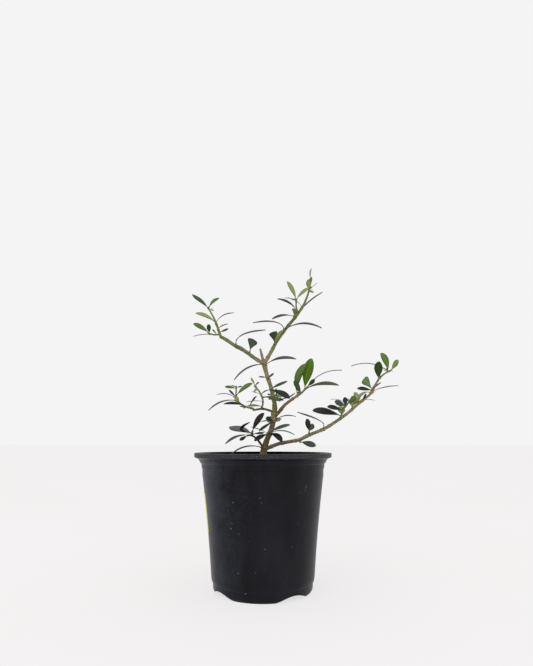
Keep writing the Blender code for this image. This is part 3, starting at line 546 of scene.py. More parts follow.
def turned_pot():
    """The pot's profile turned about Z."""
    mesh = bpy.data.meshes.new("pot_fine")
    spots = [(radius * MM, 0.0, height * MM) for radius, height in pot_profile()]
    mesh.from_pydata(spots, [(i, i + 1) for i in range(len(spots) - 1)], [])
    pot = placed("pot_fine", mesh)
    screw = pot.modifiers.new("turn", "SCREW")
    screw.steps = POT_SIDES
    screw.render_steps = POT_SIDES
    screw.use_merge_vertices = True
    screw.merge_threshold = AXIS_WELD
    return pot


def arched_gap(angle):
    """A cutter with an arched top, drawn upright across the foot's rim and extruded outward."""
    curve = bpy.data.curves.new("foot_gap", "CURVE")
    curve.dimensions = "2D"
    curve.fill_mode = "BOTH"
    curve.extrude = 0.5 * (LIP_RADIUS - FOOT_GAP_INNER) * MM
    outline = [(-FOOT_GAP_HALF_WIDTH, -2.0), (FOOT_GAP_HALF_WIDTH, -2.0)]
    for k in range(FOOT_GAP_STEPS + 1):
        side = 1.0 - 2.0 * k / FOOT_GAP_STEPS
        height = FOOT_GAP_HEIGHT * cos(pi / 2 * side) if 0 < k < FOOT_GAP_STEPS else 0.0
        outline.append((FOOT_GAP_HALF_WIDTH * side, height))
    spline = curve.splines.new("POLY")
    spline.points.add(len(outline) - 1)
    for point, (across, up) in zip(spline.points, outline):
        point.co = (across * MM, up * MM, 0.0, 1.0)
    spline.use_cyclic_u = True
    guide = placed("foot_gap_outline", curve)
    mesh = evaluated_mesh(guide)
    bpy.data.objects.remove(guide, do_unlink=True)
    work = bmesh.new()
    work.from_mesh(mesh)
    bmesh.ops.remove_doubles(work, verts=work.verts, dist=WELD)
    bmesh.ops.recalc_face_normals(work, faces=work.faces)
    work.to_mesh(mesh)
    work.free()
    cutter = placed("foot_gap_cutter", mesh)
    cutter.location = off_axis(0.5 * (LIP_RADIUS + FOOT_GAP_INNER), angle, 0.0) * MM
    cutter.rotation_euler = (pi / 2, 0.0, radians(angle) + pi / 2)
    return cutter


def drain_hole(angle):
    """A round cutter through the pot's floor."""
    bpy.ops.mesh.primitive_cylinder_add(vertices=DRAIN_SIDES, radius=DRAIN_RADIUS * MM, depth=2 * FLOOR * MM,
                                        location=off_axis(DRAIN_RING, angle, 0.5 * FLOOR) * MM)
    return bpy.context.object


def pot_plastic():
    """Black moulded plastic in near-black upright bands, with blue-grey dust and painted sheen on its left.
    """
    made = mottled("pot_plastic", "#16151c", "#0a0a0e", grain=55.0, stretch=(1, 1, 0.16), rough=0.36,
                   relief=0.12, relief_grain=900.0, soft=0.16, specular=0.13)
    tree = made.node_tree
    colour = tree.nodes["Principled BSDF"].inputs["Base Color"]
    place = next(node for node in tree.nodes if node.type == "TEX_COORD").outputs["Object"]
    # Blue-grey patches, partly dust and partly a painted sheen, strongest on the pot's left side
    dust_and_sheen = fed(tree, "ShaderNodeTexNoise", place, Scale=30.0, Detail=6.0, Roughness=0.7)
    side = fed(tree, "ShaderNodeSeparateXYZ", place)
    held = fed(tree, "ShaderNodeMath", ranged(tree, dust_and_sheen, 0.36, 0.7, 0.0, 0.85))
    held.node.operation = "MULTIPLY"
    tree.links.new(ranged(tree, side, -0.05, -0.014, 1.0, 0.15), held.node.inputs[1])
    mix = fed(tree, "ShaderNodeMix", held).node
    mix.data_type = "RGBA"
    # The blue-grey of the dust and of the painted sheen
    mix.inputs[7].default_value = linear("#353b48")
    tree.links.new(colour.links[0].from_socket, mix.inputs[6])
    tree.links.new(mix.outputs[2], colour)
    return made


def build_pot():
    pot = turned_pot()
    cutters = [make(angle) for angle in FOOT_GAPS for make in (arched_gap, drain_hole)]
    for cutter in cutters:
        step = pot.modifiers.new("cut", "BOOLEAN")
        step.operation = "DIFFERENCE"
        step.solver = "EXACT"
        step.object = cutter
    pot.data = evaluated_mesh(pot)
    pot.modifiers.clear()
    for cutter in cutters:
        bpy.data.objects.remove(cutter, do_unlink=True)
    pot.data.materials.clear()
    # The lip gets a lighter copy of the plastic: a painted highlight where its top catches the light
    rim = mottled("pot_rim_painted_highlight", "#2a2931", "#18171e", grain=260.0, relief=0.15, relief_grain=1400.0,
                  share=0.48, soft=0.2, specular=0.3)
    # The inner wall gets a darker, duller copy of the plastic: painted shade in the pot's hollow
    inside = mottled("pot_inside_painted_shade", "#0c0c0e", "#050506", grain=260.0, rough=0.7, relief=0.15, specular=0.1)
    for made in (pot_plastic(), rim, inside):
        pot.data.materials.append(made)
    for face in pot.data.polygons:
        x, y, height = face.center / MM
        inward = x * face.normal.x + y * face.normal.y < 0
        # Faces of the inner wall take the painted shade
        if height > FLOOR and inward and hypot(x, y) < LIP_BORE + 0.9:
            face.material_index = 2
        # Faces of the lip take the painted highlight
        elif height > POT_HEIGHT - LIP_DEPTH:
            face.material_index = 1
    pot.data.shade_smooth()
    pot.data.set_sharp_from_angle(angle=radians(SHARP_ANGLE))
    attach(pot, "root")
    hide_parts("pot")


def wall_radius(height):
    """The pot's outer radius at a height."""
    rows = COLLAR + BODY + HEEL
    for (wide, top), (thin, low) in zip(rows, rows[1:]):
        if low <= height <= top:
            return thin + (wide - thin) * (height - low) / max(top - low, 0.001)
    return LIP_RADIUS


def on_wall(turn, height, off):
    return off_axis(wall_radius(height) + off, turn, height)


def build_label():
    """A blank label that hugs the wall, with rounded corners and a thin edge."""
    start, end = LABEL_TURNS
    low, high = LABEL_HEIGHTS
    columns, rows = LABEL_GRID
    length = radians(start - end) * wall_radius(0.5 * (low + high))
    verts = []
    for i in range(columns + 1):
        across = length * i / columns
        inset = max(0.0, LABEL_CORNER - min(across, length - across))
        trim = LABEL_CORNER - sqrt(max(0.0, LABEL_CORNER ** 2 - inset ** 2))
        heights = [low + trim + (high - low - 2 * trim) * j / rows for j in range(rows + 1)]
        turn = start - (start - end) * i / columns
        verts += [on_wall(turn, height, LABEL_THICKNESS + 0.02) for height in heights]
        verts += [on_wall(turn, height, 0.02) for height in reversed(heights)]
    sides = 2 * rows + 2
    first = tuple(range(sides))
    last = tuple(range(len(verts) - sides, len(verts)))
    heap = Heap()
    heap.add(verts, band(columns + 1, sides) + [first[::-1], last])
    label = as_piece("blank_label", heap, [
        mottled("label_paper", "#ddd23c", "#cfc22e", grain=300.0, rough=0.6, relief=0.05, soft=0.2)])


def flake(rng, turn, height, length, width, tilt):
    """A thin uneven fleck that lies on the pot's wall."""
    middle = on_wall(turn, height, 0.05)
    around = off_axis(1.0, turn + 90, 0.0)
    up = (on_wall(turn, height + 0.5, 0.05) - on_wall(turn, height - 0.5, 0.05)).normalized()
    lean = radians(tilt)
    verts = []
    for k in range(FLAKE_SIDES):
        angle = 2 * pi * k / FLAKE_SIDES
        a = 0.5 * length * cos(angle) * rng.uniform(0.75, 1.1)
        b = 0.5 * width * sin(angle) * rng.uniform(0.7, 1.1)
        verts.append(middle + around * (a * cos(lean) - b * sin(lean)) + up * (a * sin(lean) + b * cos(lean)))
    verts.append(on_wall(turn, height, 0.11))
    return verts, [(k, (k + 1) % FLAKE_SIDES, FLAKE_SIDES) for k in range(FLAKE_SIDES)]


def build_dust():
    rng = Random(SEED + 1)
    heap = Heap()
    for row in SCUFFS:
        heap.add(*flake(rng, *row))
    for _ in range(SPECKS):
        size = SPECK_LARGEST * rng.uniform(0.35, 1.0) ** 2
        height = rng.uniform(3, 122)
        body = flake(rng, rng.uniform(0, 360), height, size * rng.uniform(1, 2.2), size, rng.uniform(0, 180))
        heap.add(*body, rng.choice((1, 1, 1, 2)))
    for count, largest, turns, heights, pale in FILMS:
        for _ in range(count):
            size = largest * rng.uniform(0.3, 1.0)
            height = min(POT_HEIGHT - 2.0, max(2.0, rng.gauss(*heights)))
            body = flake(rng, rng.gauss(*turns), height, size * rng.uniform(1, 2), size, rng.uniform(0, 180))
            heap.add(*body, 2 if rng.randrange(10) < pale else 1)
    dust = as_piece("pot_dust", heap, [
        mottled("scuff_bright", "#8a929b", "#5b626c", grain=900.0, rough=0.8),
        mottled("speck_blue", "#3e4654", "#2e3440", grain=900.0, rough=0.9),
        mottled("speck_pale", "#666e79", "#4c535e", grain=900.0, rough=0.9)])


def soil_height(x, y, bumps):
    """The height of the uneven top, which fades to flat round the trunk, with crumbs on it."""
    hold = min(1.0, max(0.0, (hypot(x, y) - SOIL_FLAT) / SOIL_FLAT))
    lift = sum(high * exp(-((x - a) ** 2 + (y - b) ** 2) / (2 * wide * wide)) for a, b, wide, high in bumps)
    crumbs = sum(size * noise.noise(Vector((x, y, apart)) * fine) for size, apart, fine in SOIL_CRUMBS)
    return SOIL_LEVEL + min(SOIL_HIGHEST, SOIL_BUMP_HEIGHT * lift * hold) + crumbs * (0.35 + 0.65 * hold)


def lump(middle, size, flatness, rng):
    """A small uneven clod or chip, from a coarse ball."""
    work = bmesh.new()
    bmesh.ops.create_icosphere(work, subdivisions=1, radius=1.0)
    spin = Vector((rng.uniform(-1, 1), rng.uniform(-1, 1), rng.uniform(-1, 1))).normalized()
    axis = spin.orthogonal().normalized()
    third = spin.cross(axis)
    stretch = rng.uniform(0.5, 0.9)
    verts = []
    for vertex in work.verts:
        x, y, z = vertex.co * (size * rng.uniform(0.78, 1.12))
        verts.append(middle + spin * x + axis * (y * stretch) + third * (z * flatness))
    faces = [tuple(vertex.index for vertex in face.verts) for face in work.faces]
    work.free()
    return verts, faces


def build_soil():
    rng = Random(SEED)
    bumps = [(rng.uniform(-55, 55), rng.uniform(-55, 55), rng.uniform(7, 15), rng.uniform(-0.6, 1.0))
             for _ in range(SOIL_BUMPS)]
    edge = wall_radius(SOIL_LEVEL) - WALL - 0.1
    verts = [Vector((0.0, 0.0, SOIL_LEVEL))]
    for i in range(1, SOIL_RINGS + 1):
        for k in range(SOIL_SIDES):
            x, y, _ = off_axis(edge * i / SOIL_RINGS, 360 * k / SOIL_SIDES, 0.0)
            verts.append(Vector((x, y, soil_height(x, y, bumps))))
    heap = Heap()
    heap.add(verts, [(0, 1 + k, 1 + (k + 1) % SOIL_SIDES) for k in range(SOIL_SIDES)]
             + band(SOIL_RINGS, SOIL_SIDES, 1, outward=False))
    top = as_piece("soil_top", heap, [mottled("soil_earth", "#3a2a1e", "#1d1510", grain=500.0, rough=0.95,
                                              relief=0.6, relief_grain=1800.0, relief_depth=0.0006,
                                              specular=0.2)])
    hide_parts("soil")
    rng = Random(SEED + 2)
    heap = Heap()
    for _ in range(SOIL_GRAINS):
        turn = rng.uniform(0, 2 * pi)
        radius = sqrt(rng.uniform(SOIL_CLEAR ** 2, (edge - 1.5) ** 2))
        x, y = radius * cos(turn), radius * sin(turn)
        kind = rng.choices((0, 1, 2, 3), (10, 6, 3, 1))[0]
        size = rng.uniform(0.5, 1.5) if kind != 2 else rng.uniform(1.0, 2.4)
        spot = Vector((x, y, soil_height(x, y, bumps) + 0.25 * size))
        heap.add(*lump(spot, size, 0.3 if kind == 2 else 0.7, rng), kind)
    grains = as_piece("soil_grains", heap, [
        mottled("clod_dark", "#2c2018", "#17110d", rough=0.95, relief=0.5, specular=0.2),
        mottled("clod_brown", "#4e3824", "#2e2117", rough=0.95, relief=0.5, specular=0.2),
        mottled("bark_chip", "#7a5a3c", "#4b3524", rough=0.9, relief=0.5, specular=0.2),
        mottled("white_grain", "#cfc9bc", "#a9a294", rough=0.9, relief=0.3, specular=0.3)], rounded=False)


def smooth(points, radii, step):
    """Points and radii along a smooth run through the control points."""
    p = [Vector(q) for q in points]
    ends = [2 * p[0] - p[1]] + p + [2 * p[-1] - p[-2]]
    out = []
    for i in range(len(p) - 1):
        a, b, c, d = ends[i:i + 4]
        count = max(2, round((c - b).length / step))
        for k in range(count):
            t = k / count
            bend = (2 * a - 5 * b + 4 * c - d) * t * t + (3 * b - a - 3 * c + d) * t ** 3
            out.append((0.5 * (2 * b + (c - a) * t + bend), radii[i] + (radii[i + 1] - radii[i]) * t))
    return out + [(p[-1], radii[-1])]


def tapered(points, root, tip, step=LIMB_STEP):
    """A smooth run with a radius that falls evenly from its root to its tip."""
    last = len(points) - 1
    return smooth(points, [root + (tip - root) * k / last for k in range(last + 1)], step)


def spans_of(run):
    return [(b[0] - a[0]).length for a, b in zip(run, run[1:])]


def along(run, place):
    """The point and radius at a place from 0 to 1 along a run."""
    spans = spans_of(run)
    left = place * sum(spans)
    for span, (a, wide), (b, thin) in zip(spans, run, run[1:]):
        if left <= span:
            break
        left -= span
    share = min(1.0, left / span)
    return a.lerp(b, share), wide + (thin - wide) * share


def finer(run, step):
    """The same run with closer stations."""
    count = max(3, round(sum(spans_of(run)) / step))
    return [along(run, k / count) for k in range(count + 1)]


def way_at(run, i):
    return (run[min(i + 1, len(run) - 1)][0] - run[max(i - 1, 0)][0]).normalized()


def ring_points(run):
    """The middle of a run's root, and points round its body at each of its stations."""
    points = [run[0][0]]
    for i, (spot, radius) in enumerate(run):
        way = way_at(run, i)
        side = way.orthogonal().normalized()
        for turn in (2 * pi * k / RING_SIDES for k in range(RING_SIDES)):
            points.append(spot + side * (radius * cos(turn)) + way.cross(side) * (radius * sin(turn)))
    return points


def off_body(spot, run):
    """How far a point is outside the flat-ended round body of a run; below 0 is inside it."""
    best = inf
    for i, ((a, wide), (b, thin)) in enumerate(zip(run, run[1:])):
        span = b - a
        share = (spot - a).dot(span) / span.length_squared
        held = min(1.0, max(0.0, share))
        aside = (spot - a - span * held).length
        radius = wide + (thin - wide) * held
        apart = aside - radius
        if (share > 1.0 and i == len(run) - 2) or (share < 0.0 and i == 0):
            past = abs(share - held) * span.length
            beside = sqrt(max(0.0, aside * aside - past * past)) - radius
            apart = hypot(past, max(0.0, beside))
        best = min(best, apart)
    return best


def shorten(run, far):
    """The run with this length taken off its root."""
    run = list(run)
    while far > 0 and len(run) > 2:
        length = (run[1][0] - run[0][0]).length
        if length > far + 0.4:
            share = far / length
            run[0] = (run[0][0].lerp(run[1][0], share), run[0][1] + (run[1][1] - run[0][1]) * share)
            break
        far -= length
        run.pop(0)
    return run


def seated(run, bodies):
    """Shortens a run at its root until it stands just clear of the bodies there."""
    near = []
    for body in bodies:
        kept = [i for i, (spot, _) in enumerate(body) if (spot - run[0][0]).length < SEAT_REACH]
        if kept:
            near.append(body[max(0, kept[0] - 1):kept[-1] + 2])
    corners = [spot for body in near for spot in ring_points(body)]
    far = 0.0
    while far < SEAT_MOST:
        trial = shorten(run, far)
        start = trial[:4]
        far += SEAT_STEP
        if min(off_body(spot, body) for spot in ring_points(start) for body in near) < GAP:
            continue
        if min(off_body(spot, start) for spot in corners) >= GAP:
            break
    return trial


def limb_runs():
    """The trunk's run, and each bough's with its root at the skin of what it meets."""
    runs = {"trunk": smooth(TRUNK, TRUNK_RADII, LIMB_STEP)}
    for name, row in BOUGHS.items():
        runs[name] = seated(tapered(*row), list(runs.values()))
    return runs


def back_leaves(name):
    """Opposite pairs on a shoot behind the trunk, by a seeded rule."""
    rng = Random(SEED + len(name))
    leaves = []
    for k in range(BACK_PAIRS):
        place = 0.1 + 0.9 * k / (BACK_PAIRS - 1)
        for side in (-1, 1):
            spread = rng.uniform(60, 100) if k % 2 else rng.uniform(10, 35)
            leaves.append((place, 90 + side * spread, BACK_REACH * rng.uniform(0.7, 1.1), AWAY))
    return leaves


def build_runs(limbs):
    """The run of every shoot, second stem and spur, and the leaves that each carries."""
    bodies = list(limbs.values())
    stems = {}
    for name, (limb, place, points, leaves, _) in SHOOTS.items():
        spot, radius = along(limbs[limb], place)
        root = min(radius, LEADER_ROOT if place == 1 else SHOOT_ROOT)
        run = seated(tapered([spot] + points, root, SHOOT_TIP), bodies)
        stems["foliage_" + name] = [(run, leaves or back_leaves(name))]
    for name, (place, points, leaves) in FORKS.items():
        carried = stems["foliage_" + name]
        spot, _ = along(carried[0][0], place)
        carried.append((tapered([spot] + points, FORK_ROOT, SHOOT_TIP), leaves))
    for name, (limb, place, way, leaves, _) in SPURS.items():
        spot, radius = along(limbs[limb], place)
        way = Vector(way).normalized()
        length = radius + GAP + SPUR_LENGTH
        run = seated([(spot + way * (length * k / 6), SPUR_RADIUS) for k in range(7)], bodies)
        apart = [(SPUR_LEAF - SPUR_LEAF_STEP * k, *leaf) for k, leaf in enumerate(leaves)]
        stems["foliage_" + name] = [(run, apart)]
    return stems


def leaf_line(root, heading, reach, lean):
    """The tip of a leaf, the way that it bows and the way across it to the eye in front."""
    turn = radians(heading)
    flat = root + Vector((cos(turn), 0.0, sin(turn))) * reach
    depth = root.y + reach * tan(radians(lean))
    tip = EYE + (flat - EYE) * ((depth - EYE.y) / (flat.y - EYE.y))
    way = (tip - root).normalized()
    side = 1.0 if cos(turn) >= 0.0 else -1.0
    rise = way.cross(root - EYE).normalized() * side
    return tip, rise, way.cross(rise) * side


def bowed(show, reach, place):
    """How far a leaf's middle line rises above its chord at a place, and how steeply."""
    power = log(0.5) / log(show.peak)
    share = place ** power
    slope = power * max(place, STALK) ** (power - 1)
    high = 4 * show.bow * reach
    return high * share * (1 - share), high * (1 - 2 * share) * slope


def blade(root, heading, reach, lean, show, places):
    """A leaf's tip, width and thickness, and its middle, its across and its up at each place."""
    tip, rise, toward = leaf_line(root, heading, reach, lean)
    span = tip - root
    width = min(LEAF_WIDEST, max(LEAF_NARROWEST, show.width * span.length))
    thick = max(LEAF_THINNEST, LEAF_THICKNESS * span.length)
    frames = []
    for place in places:
        lift, steep = bowed(show, reach, place)
        way = (span + rise * steep).normalized()
        over = (rise - way * rise.dot(way)).normalized()
        across = toward * cos(radians(show.turn)) - over * sin(radians(show.turn))
        frames.append((root + span * place + rise * lift, across, way.cross(across)))
    return tip, width, thick, frames


def felt(shape, extra=0.0, start=0.0):
    """The surface of a coarse leaf on a short stalk, for finding what it touches."""
    rows = [(0.0, 0.0), (STALK, 0.0)] + (BLUNT_OUTLINE if shape[-1].blunt else LEAF_OUTLINE)
    rows = [row for row in rows if row[0] >= start]
    tip, width, thick, frames = blade(*shape, [place for place, _ in rows])
    verts = []
    for (_, share), (middle, across, up) in zip(rows, frames):
        half = (0.5 * width * share or STALK_RADIUS) + extra
        deep = 0.5 * thick * (1.0 if share else STALK_DEPTH) + extra
        verts += [middle - across * half, middle + up * deep, middle + across * half, middle - up * deep]
    verts.append(tip + (tip - shape[0]).normalized() * extra)
    last = 4 * len(frames) - 4
    faces = [(3, 2, 1, 0)] + [(last + k, last + (k + 1) % 4, last + 4) for k in range(4)]
    for a, b, c, d in band(len(frames), 4):
        faces += [(a, b, c), (a, c, d)]
    return BVHTree.FromPolygons(verts, faces)


def sweep(run, sides, relief=None):
    """Verts and faces of a closed round body along a run, whose rings don't twist."""
    verts = []
    side = (run[1][0] - run[0][0]).normalized().orthogonal().normalized()
    travelled = 0.0
    for i, (spot, radius) in enumerate(run):
        ahead = way_at(run, i)
        side = (side - ahead * side.dot(ahead)).normalized()
        other = ahead.cross(side)
        travelled += (spot - run[max(i - 1, 0)][0]).length
        for k in range(sides):
            turn = 2 * pi * k / sides
            wide = relief(travelled, turn, radius) if relief else radius
            verts.append(spot + side * (wide * cos(turn)) + other * (wide * sin(turn)))
    faces = band(len(run), sides)
    last = (len(run) - 1) * sides
    verts += [run[0][0].copy(), run[-1][0].copy()]
    faces += [((k + 1) % sides, k, last + sides) for k in range(sides)]
    faces += [(last + k, last + (k + 1) % sides, last + sides + 1) for k in range(sides)]
    return verts, faces


def other_leans(lean):
    """The lean as given, then others to try where the leaf would touch something."""
    yield lean
    near = (-lean, lean - 12, lean + 12, -lean - 12, 12 - lean, lean - 24, lean + 24)
    for other in (*near, 40, -40, 20, -20, 0):
        if abs(other) <= STEEPEST_LEAN:
            yield other


def grow_leaves(stems, limbs):
    """Every leaf that keeps clear of the limbs and of the other sprays: its shape and its number."""
    walls = [BVHTree.FromPolygons(*sweep(run, RING_SIDES)) for run in limbs.values()]
    trees = {mass: [BVHTree.FromPolygons(*sweep(run, 6)) for run, _ in carried]
             for mass, carried in stems.items()}
    grown = {mass: [] for mass in stems}
    standing = []
    for mass, carried in stems.items():
        rng = Random(SEED + len(mass))
        others = walls + [tree for name in stems if name != mass for tree in trees[name]]
        rows = [(run, k, row) for run, leaves in carried for k, row in enumerate(leaves)]
        for number, (run, k, (place, heading, reach, show)) in enumerate(rows):
            root, _ = along(run, min(place, LAST_LEAF - LAST_LEAF_STEP * (k % 4)))
            lean = show.lean * (-1 if 0 < show.lean < 50 and k % 2 else 1)
            best = None
            for other in other_leans(lean + rng.uniform(-LEAN_SPREAD, LEAN_SPREAD)):
                shape = (root, heading, reach, other, show)
                fat = felt(shape, LEAF_CLEARANCE)
                thin = felt(shape, BLADE_CLEARANCE, BLADE_START)
                if any(fat.overlap(tree) for tree in others):
                    continue
                if any(owner != mass and fat.overlap(whole) for owner, whole, _ in standing):
                    continue
                crossing = any(owner == mass and thin.overlap(far) for owner, _, far in standing)
                crossing = crossing or any(thin.overlap(tree) for tree in trees[mass])
                if best is None or not crossing:
                    best = shape
                if not crossing:
                    break
            if best is not None:
                grown[mass].append((best, number))
                standing.append((mass, felt(best), felt(best, start=BLADE_START)))
    return grown


def fine_leaf(shape, slots, rng):
    """A thin bowed blade with a sunk midrib, a paler underside and a short round stalk."""
    upper, under, rib, margin, stalk = slots
    show = shape[-1]
    _, width, thick, frames = blade(*shape, BLADE_STATIONS)
    if show.turn <= EDGE_ON_TURN:
        width *= EDGE_ON_WIDTH
    cup = BLADE_CUP * rng.uniform(0.4, 1.6)
    phase = rng.uniform(0, 2 * pi)
    skew, fullness = (BLUNT_SKEW, BLUNT_FULLNESS) if show.blunt else (BLADE_SKEW, BLADE_FULLNESS)
    face = Vector((0.0, -1.0, 0.0)) if show.turn >= FACING_TURN else Vector((0.0, 0.0, 1.0))
    sign = 1.0 if frames[0][2].dot(face) >= 0 else -1.0
    verts = []
    for place, (middle, across, normal) in zip(BLADE_STATIONS, frames):
        u = max(0.0, (place - STALK) / (1 - STALK))
        share = sin(pi * u ** skew) ** fullness if 0 < u < 1 else 0.0
        half = max(STALK_RADIUS * (1.0 if place < 0.5 else 0.35), 0.5 * width * share)
        deep = 0.5 * thick * (STALK_DEPTH if place <= STALK else 1.0)
        flat = min(1.0, max(0.0, (place - STALK) / 0.12))
        wave = BLADE_WAVE * half * sin(9 * place + phase)
        for out, spots, groove in ((1, BLADE_TOP, 0.5), (-1, BLADE_UNDER, 0.4)):
            for s in spots:
                lift = out * deep * (1 - 0.6 * s * s) + flat * (wave * s - cup * half * s * s)
                lift -= groove * deep * flat if abs(s) < 0.2 else 0.0
                verts.append(middle + (across * (half * s) + normal * lift) * sign)
    sides = len(BLADE_TOP) + len(BLADE_UNDER)
    end = len(verts) - sides
    faces = band(len(frames), sides, outward=False)
    faces += [tuple(range(sides)), tuple(range(end, end + sides))[::-1]]
    order = [margin, upper, upper, rib, upper, upper, margin, under, under, under, rib, under, under, under]
    kinds = []
    for place in BLADE_STATIONS[:-1]:
        kinds += [stalk] * sides if place < STALK_END else order
    return verts, faces, kinds + [stalk, upper]


def swelling(places, travelled):
    """How much a limb swells near its nodes, as a share of its radius."""
    return sum(exp(-((travelled - place) / NODE_LENGTH) ** 2) for place in places)


def node_places(name, whole):
    """Where leaves, shoots and old leaf scars sit on a limb, as lengths from its root."""
    places = [row[1] * whole for row in (SHOOTS | SPURS).values() if row[0] == name and row[1] < 1]
    rng = Random(SEED + len(name))
    reach = NODE_SPACING * rng.uniform(0.5, 0.9)
    while reach < whole - 3:
        if all(abs(reach - place) > 5 for place in places):
            places.append(reach)
        reach += NODE_SPACING * rng.uniform(0.8, 1.2)
    return places


def limb_relief(name, run):
    """The bark's ridges, furrows and swollen nodes, as a radius for each place on a limb."""
    places = node_places(name, sum(spans_of(run)))
    offset = 7.0 * len(name)

    def relief(travelled, turn, radius):
        spot = Vector((1.3 * cos(turn), 1.3 * sin(turn), 0.22 * travelled + offset))
        furrow = noise.noise(spot * 1.8) + 0.5 * noise.noise(spot * 4.1)
        crumb = noise.noise(Vector((3 * cos(turn), 3 * sin(turn), 1.6 * travelled + offset)))
        wide = 1 + BARK_RELIEF * (furrow + 0.5 * crumb)
        wide += NODE_SWELLING * swelling(places, travelled) * (1 + 0.35 * cos(2 * turn + offset))
        if name == "trunk":
            wide += FLARE_RIDGES * (0.5 + 0.5 * sin(5 * turn + 1.2)) * exp(-travelled / FLARE_HEIGHT)
        else:
            wide += FOOT_SWELLING * exp(-travelled / FOOT_LENGTH)
        return radius * wide
    return relief


def knobbly(travelled, turn, radius):
    return radius * (1 + 0.12 * sin(3 * turn + 2.1 * travelled) + 0.06 * sin(5 * turn + travelled))


def add_knots(heap, runs, slots):
    """The swollen joints that stand out on these runs."""
    for name, place, radius, reach, tone in KNOTS:
        if name in runs:
            whole = sum(spans_of(runs[name]))
            body = []
            for far, share in KNOT_OUTLINE:
                spot, _ = along(runs[name], min(1.0, max(0.0, place + reach * far / whole)))
                body.append((spot + Vector((0, 0, 0.001 * far)), radius * share))
            heap.add(*sweep(body, SHOOT_SIDES, knobbly), slots[tone])


def build_wood(limbs):
    """One mesh for trunk and boughs, with the bark's relief and its tones dealt along each limb."""
    slots = {tone: k for k, tone in enumerate(BARK_TONES)}
    heap = Heap()
    for name in limbs:
        coarse = smooth(TRUNK, TRUNK_RADII, 1.0) if name == "trunk" else tapered(*BOUGHS[name], 1.0)
        run = finer(coarse, BARK_STEP)
        verts, faces = sweep(run, BARK_SIDES, limb_relief(name, run))
        tones = LIMB_TONES[name].split()
        last = len(tones) - 1
        kinds = []
        for k, face in enumerate(faces):
            share = min(1.0, (k // BARK_SIDES) / (len(run) - 1))
            spot = verts[face[0]]
            drift = 1.1 * noise.noise(spot * 0.45) + 0.9 * noise.noise(spot * 1.7)
            kinds.append(slots[tones[min(last, max(0, round(share * last + 0.75 * drift)))]])
        heap.add(verts, faces, kinds)
    add_knots(heap, limbs, slots)
    wood = as_piece("wood", heap, [
        mottled("bark_" + name, *pair, grain=1100.0, stretch=(1, 1, 0.45), rough=0.8, relief=0.5,
                relief_grain=2600.0, relief_depth=0.0003, share=0.47, soft=0.1, specular=0.25)
        for name, pair in BARK_TONES.items()])
    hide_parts(*limbs)


def bud(spot, way, length, radius):
    """A small pointed bud of six sides."""
    run = [(spot - way * 0.3, 0.7 * radius)]
    run += [(spot + way * (far * length), share * radius) for far, share in BUD_OUTLINE]
    return sweep(run, 6)


def build_twigs(stems):
    """One mesh for the green wood: shoots, spurs and buds, with a swollen node where leaves sit."""
    tones = list(WOOD_TONES)
    heap = Heap()
    rng = Random(SEED + 3)
    for mass, carried in stems.items():
        age = "old" if "trunk" in mass or "lower" in mass else "young"
        tone = tones.index("warm" if mass in WARM_SHOOTS else age)
        for number, (run, leaves) in enumerate(carried):
            back = run[0][0] - (run[1][0] - run[0][0]).normalized() * SHOOT_SUNK
            fine = finer(run if number else [(back, run[0][1])] + run, SHOOT_STEP)
            whole = sum(spans_of(fine))
            places = [row[0] * whole for row in leaves] if whole > SHORT_STEM else []

            def relief(travelled, turn, radius):
                swell = SHOOT_SWELLING * min(1.2, swelling(places, travelled))
                return radius * (1 + swell + 0.04 * sin(3 * turn + travelled))
            heap.add(*sweep(fine, SHOOT_SIDES, relief), tone)
            tip, thin = fine[-1]
            way = (tip - fine[-2][0]).normalized()
            heap.add(*bud(tip, way, BUD_LENGTHS[1], thin), len(tones))
            for place, heading, _, _ in leaves:
                spot, radius = along(run, min(place, 0.97))
                turn = radians(heading)
                out = (Vector((cos(turn), rng.uniform(-0.7, 0.7), sin(turn))) + way * 0.6).normalized()
                size = rng.uniform(*BUD_LENGTHS)
                heap.add(*bud(spot + out * (radius * 0.5), out, size, BUD_RADIUS), len(tones))
    materials = [mottled("wood_" + name, *WOOD_TONES[name], grain=900.0, rough=0.65, relief=0.3,
                         relief_grain=2600.0, specular=0.3) for name in tones]
    materials.append(mottled("buds", *BUD_TONE, grain=900.0, rough=0.6))
    knots = sorted({row[4] for row in KNOTS})
    add_knots(heap, {mass: carried[0][0] for mass, carried in stems.items()},
              {tone: len(materials) + k for k, tone in enumerate(knots)})
    materials += [mottled("knot_" + tone, *BARK_TONES[tone], grain=900.0, rough=0.7, specular=0.25)
                  for tone in knots]
    twigs = as_piece("twigs", heap, materials)
    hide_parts(*stems)


def sprigs(carried, rng):
    """Tiny leaf pairs that open in the axils of a shoot's leaves, as shapes like the others."""
    for run, leaves in carried:
        if sum(spans_of(run)) < SHORT_STEM:
            continue
        for place, heading, reach, _ in leaves:
            if reach < SPRIG_LEAF or rng.random() < SPRIG_LESS:
                continue
            root, _ = along(run, min(place, 0.95))
            way = heading + rng.choice((-1, 1)) * rng.uniform(18, 40)
            for side in (-1, 1):
                show = Show(0, rng.uniform(10, 60), rng.uniform(0.26, 0.36), rng.uniform(0.0, 0.12))
                heading = way + side * rng.uniform(10, 24)
                yield root, heading, rng.uniform(3.0, 5.5), rng.uniform(-45, 45), show


def sprig_leaf(shape, slots, rng):
    """A leaf of a tiny pair, without the least width of a grown leaf."""
    verts, faces, kinds = fine_leaf(shape, slots, rng)
    root = shape[0]
    way = (leaf_line(*shape[:4])[0] - root).normalized()
    narrow = [(root + way * (v - root).dot(way)).lerp(v, SPRIG_WIDTH) for v in verts]
    return narrow, faces, kinds


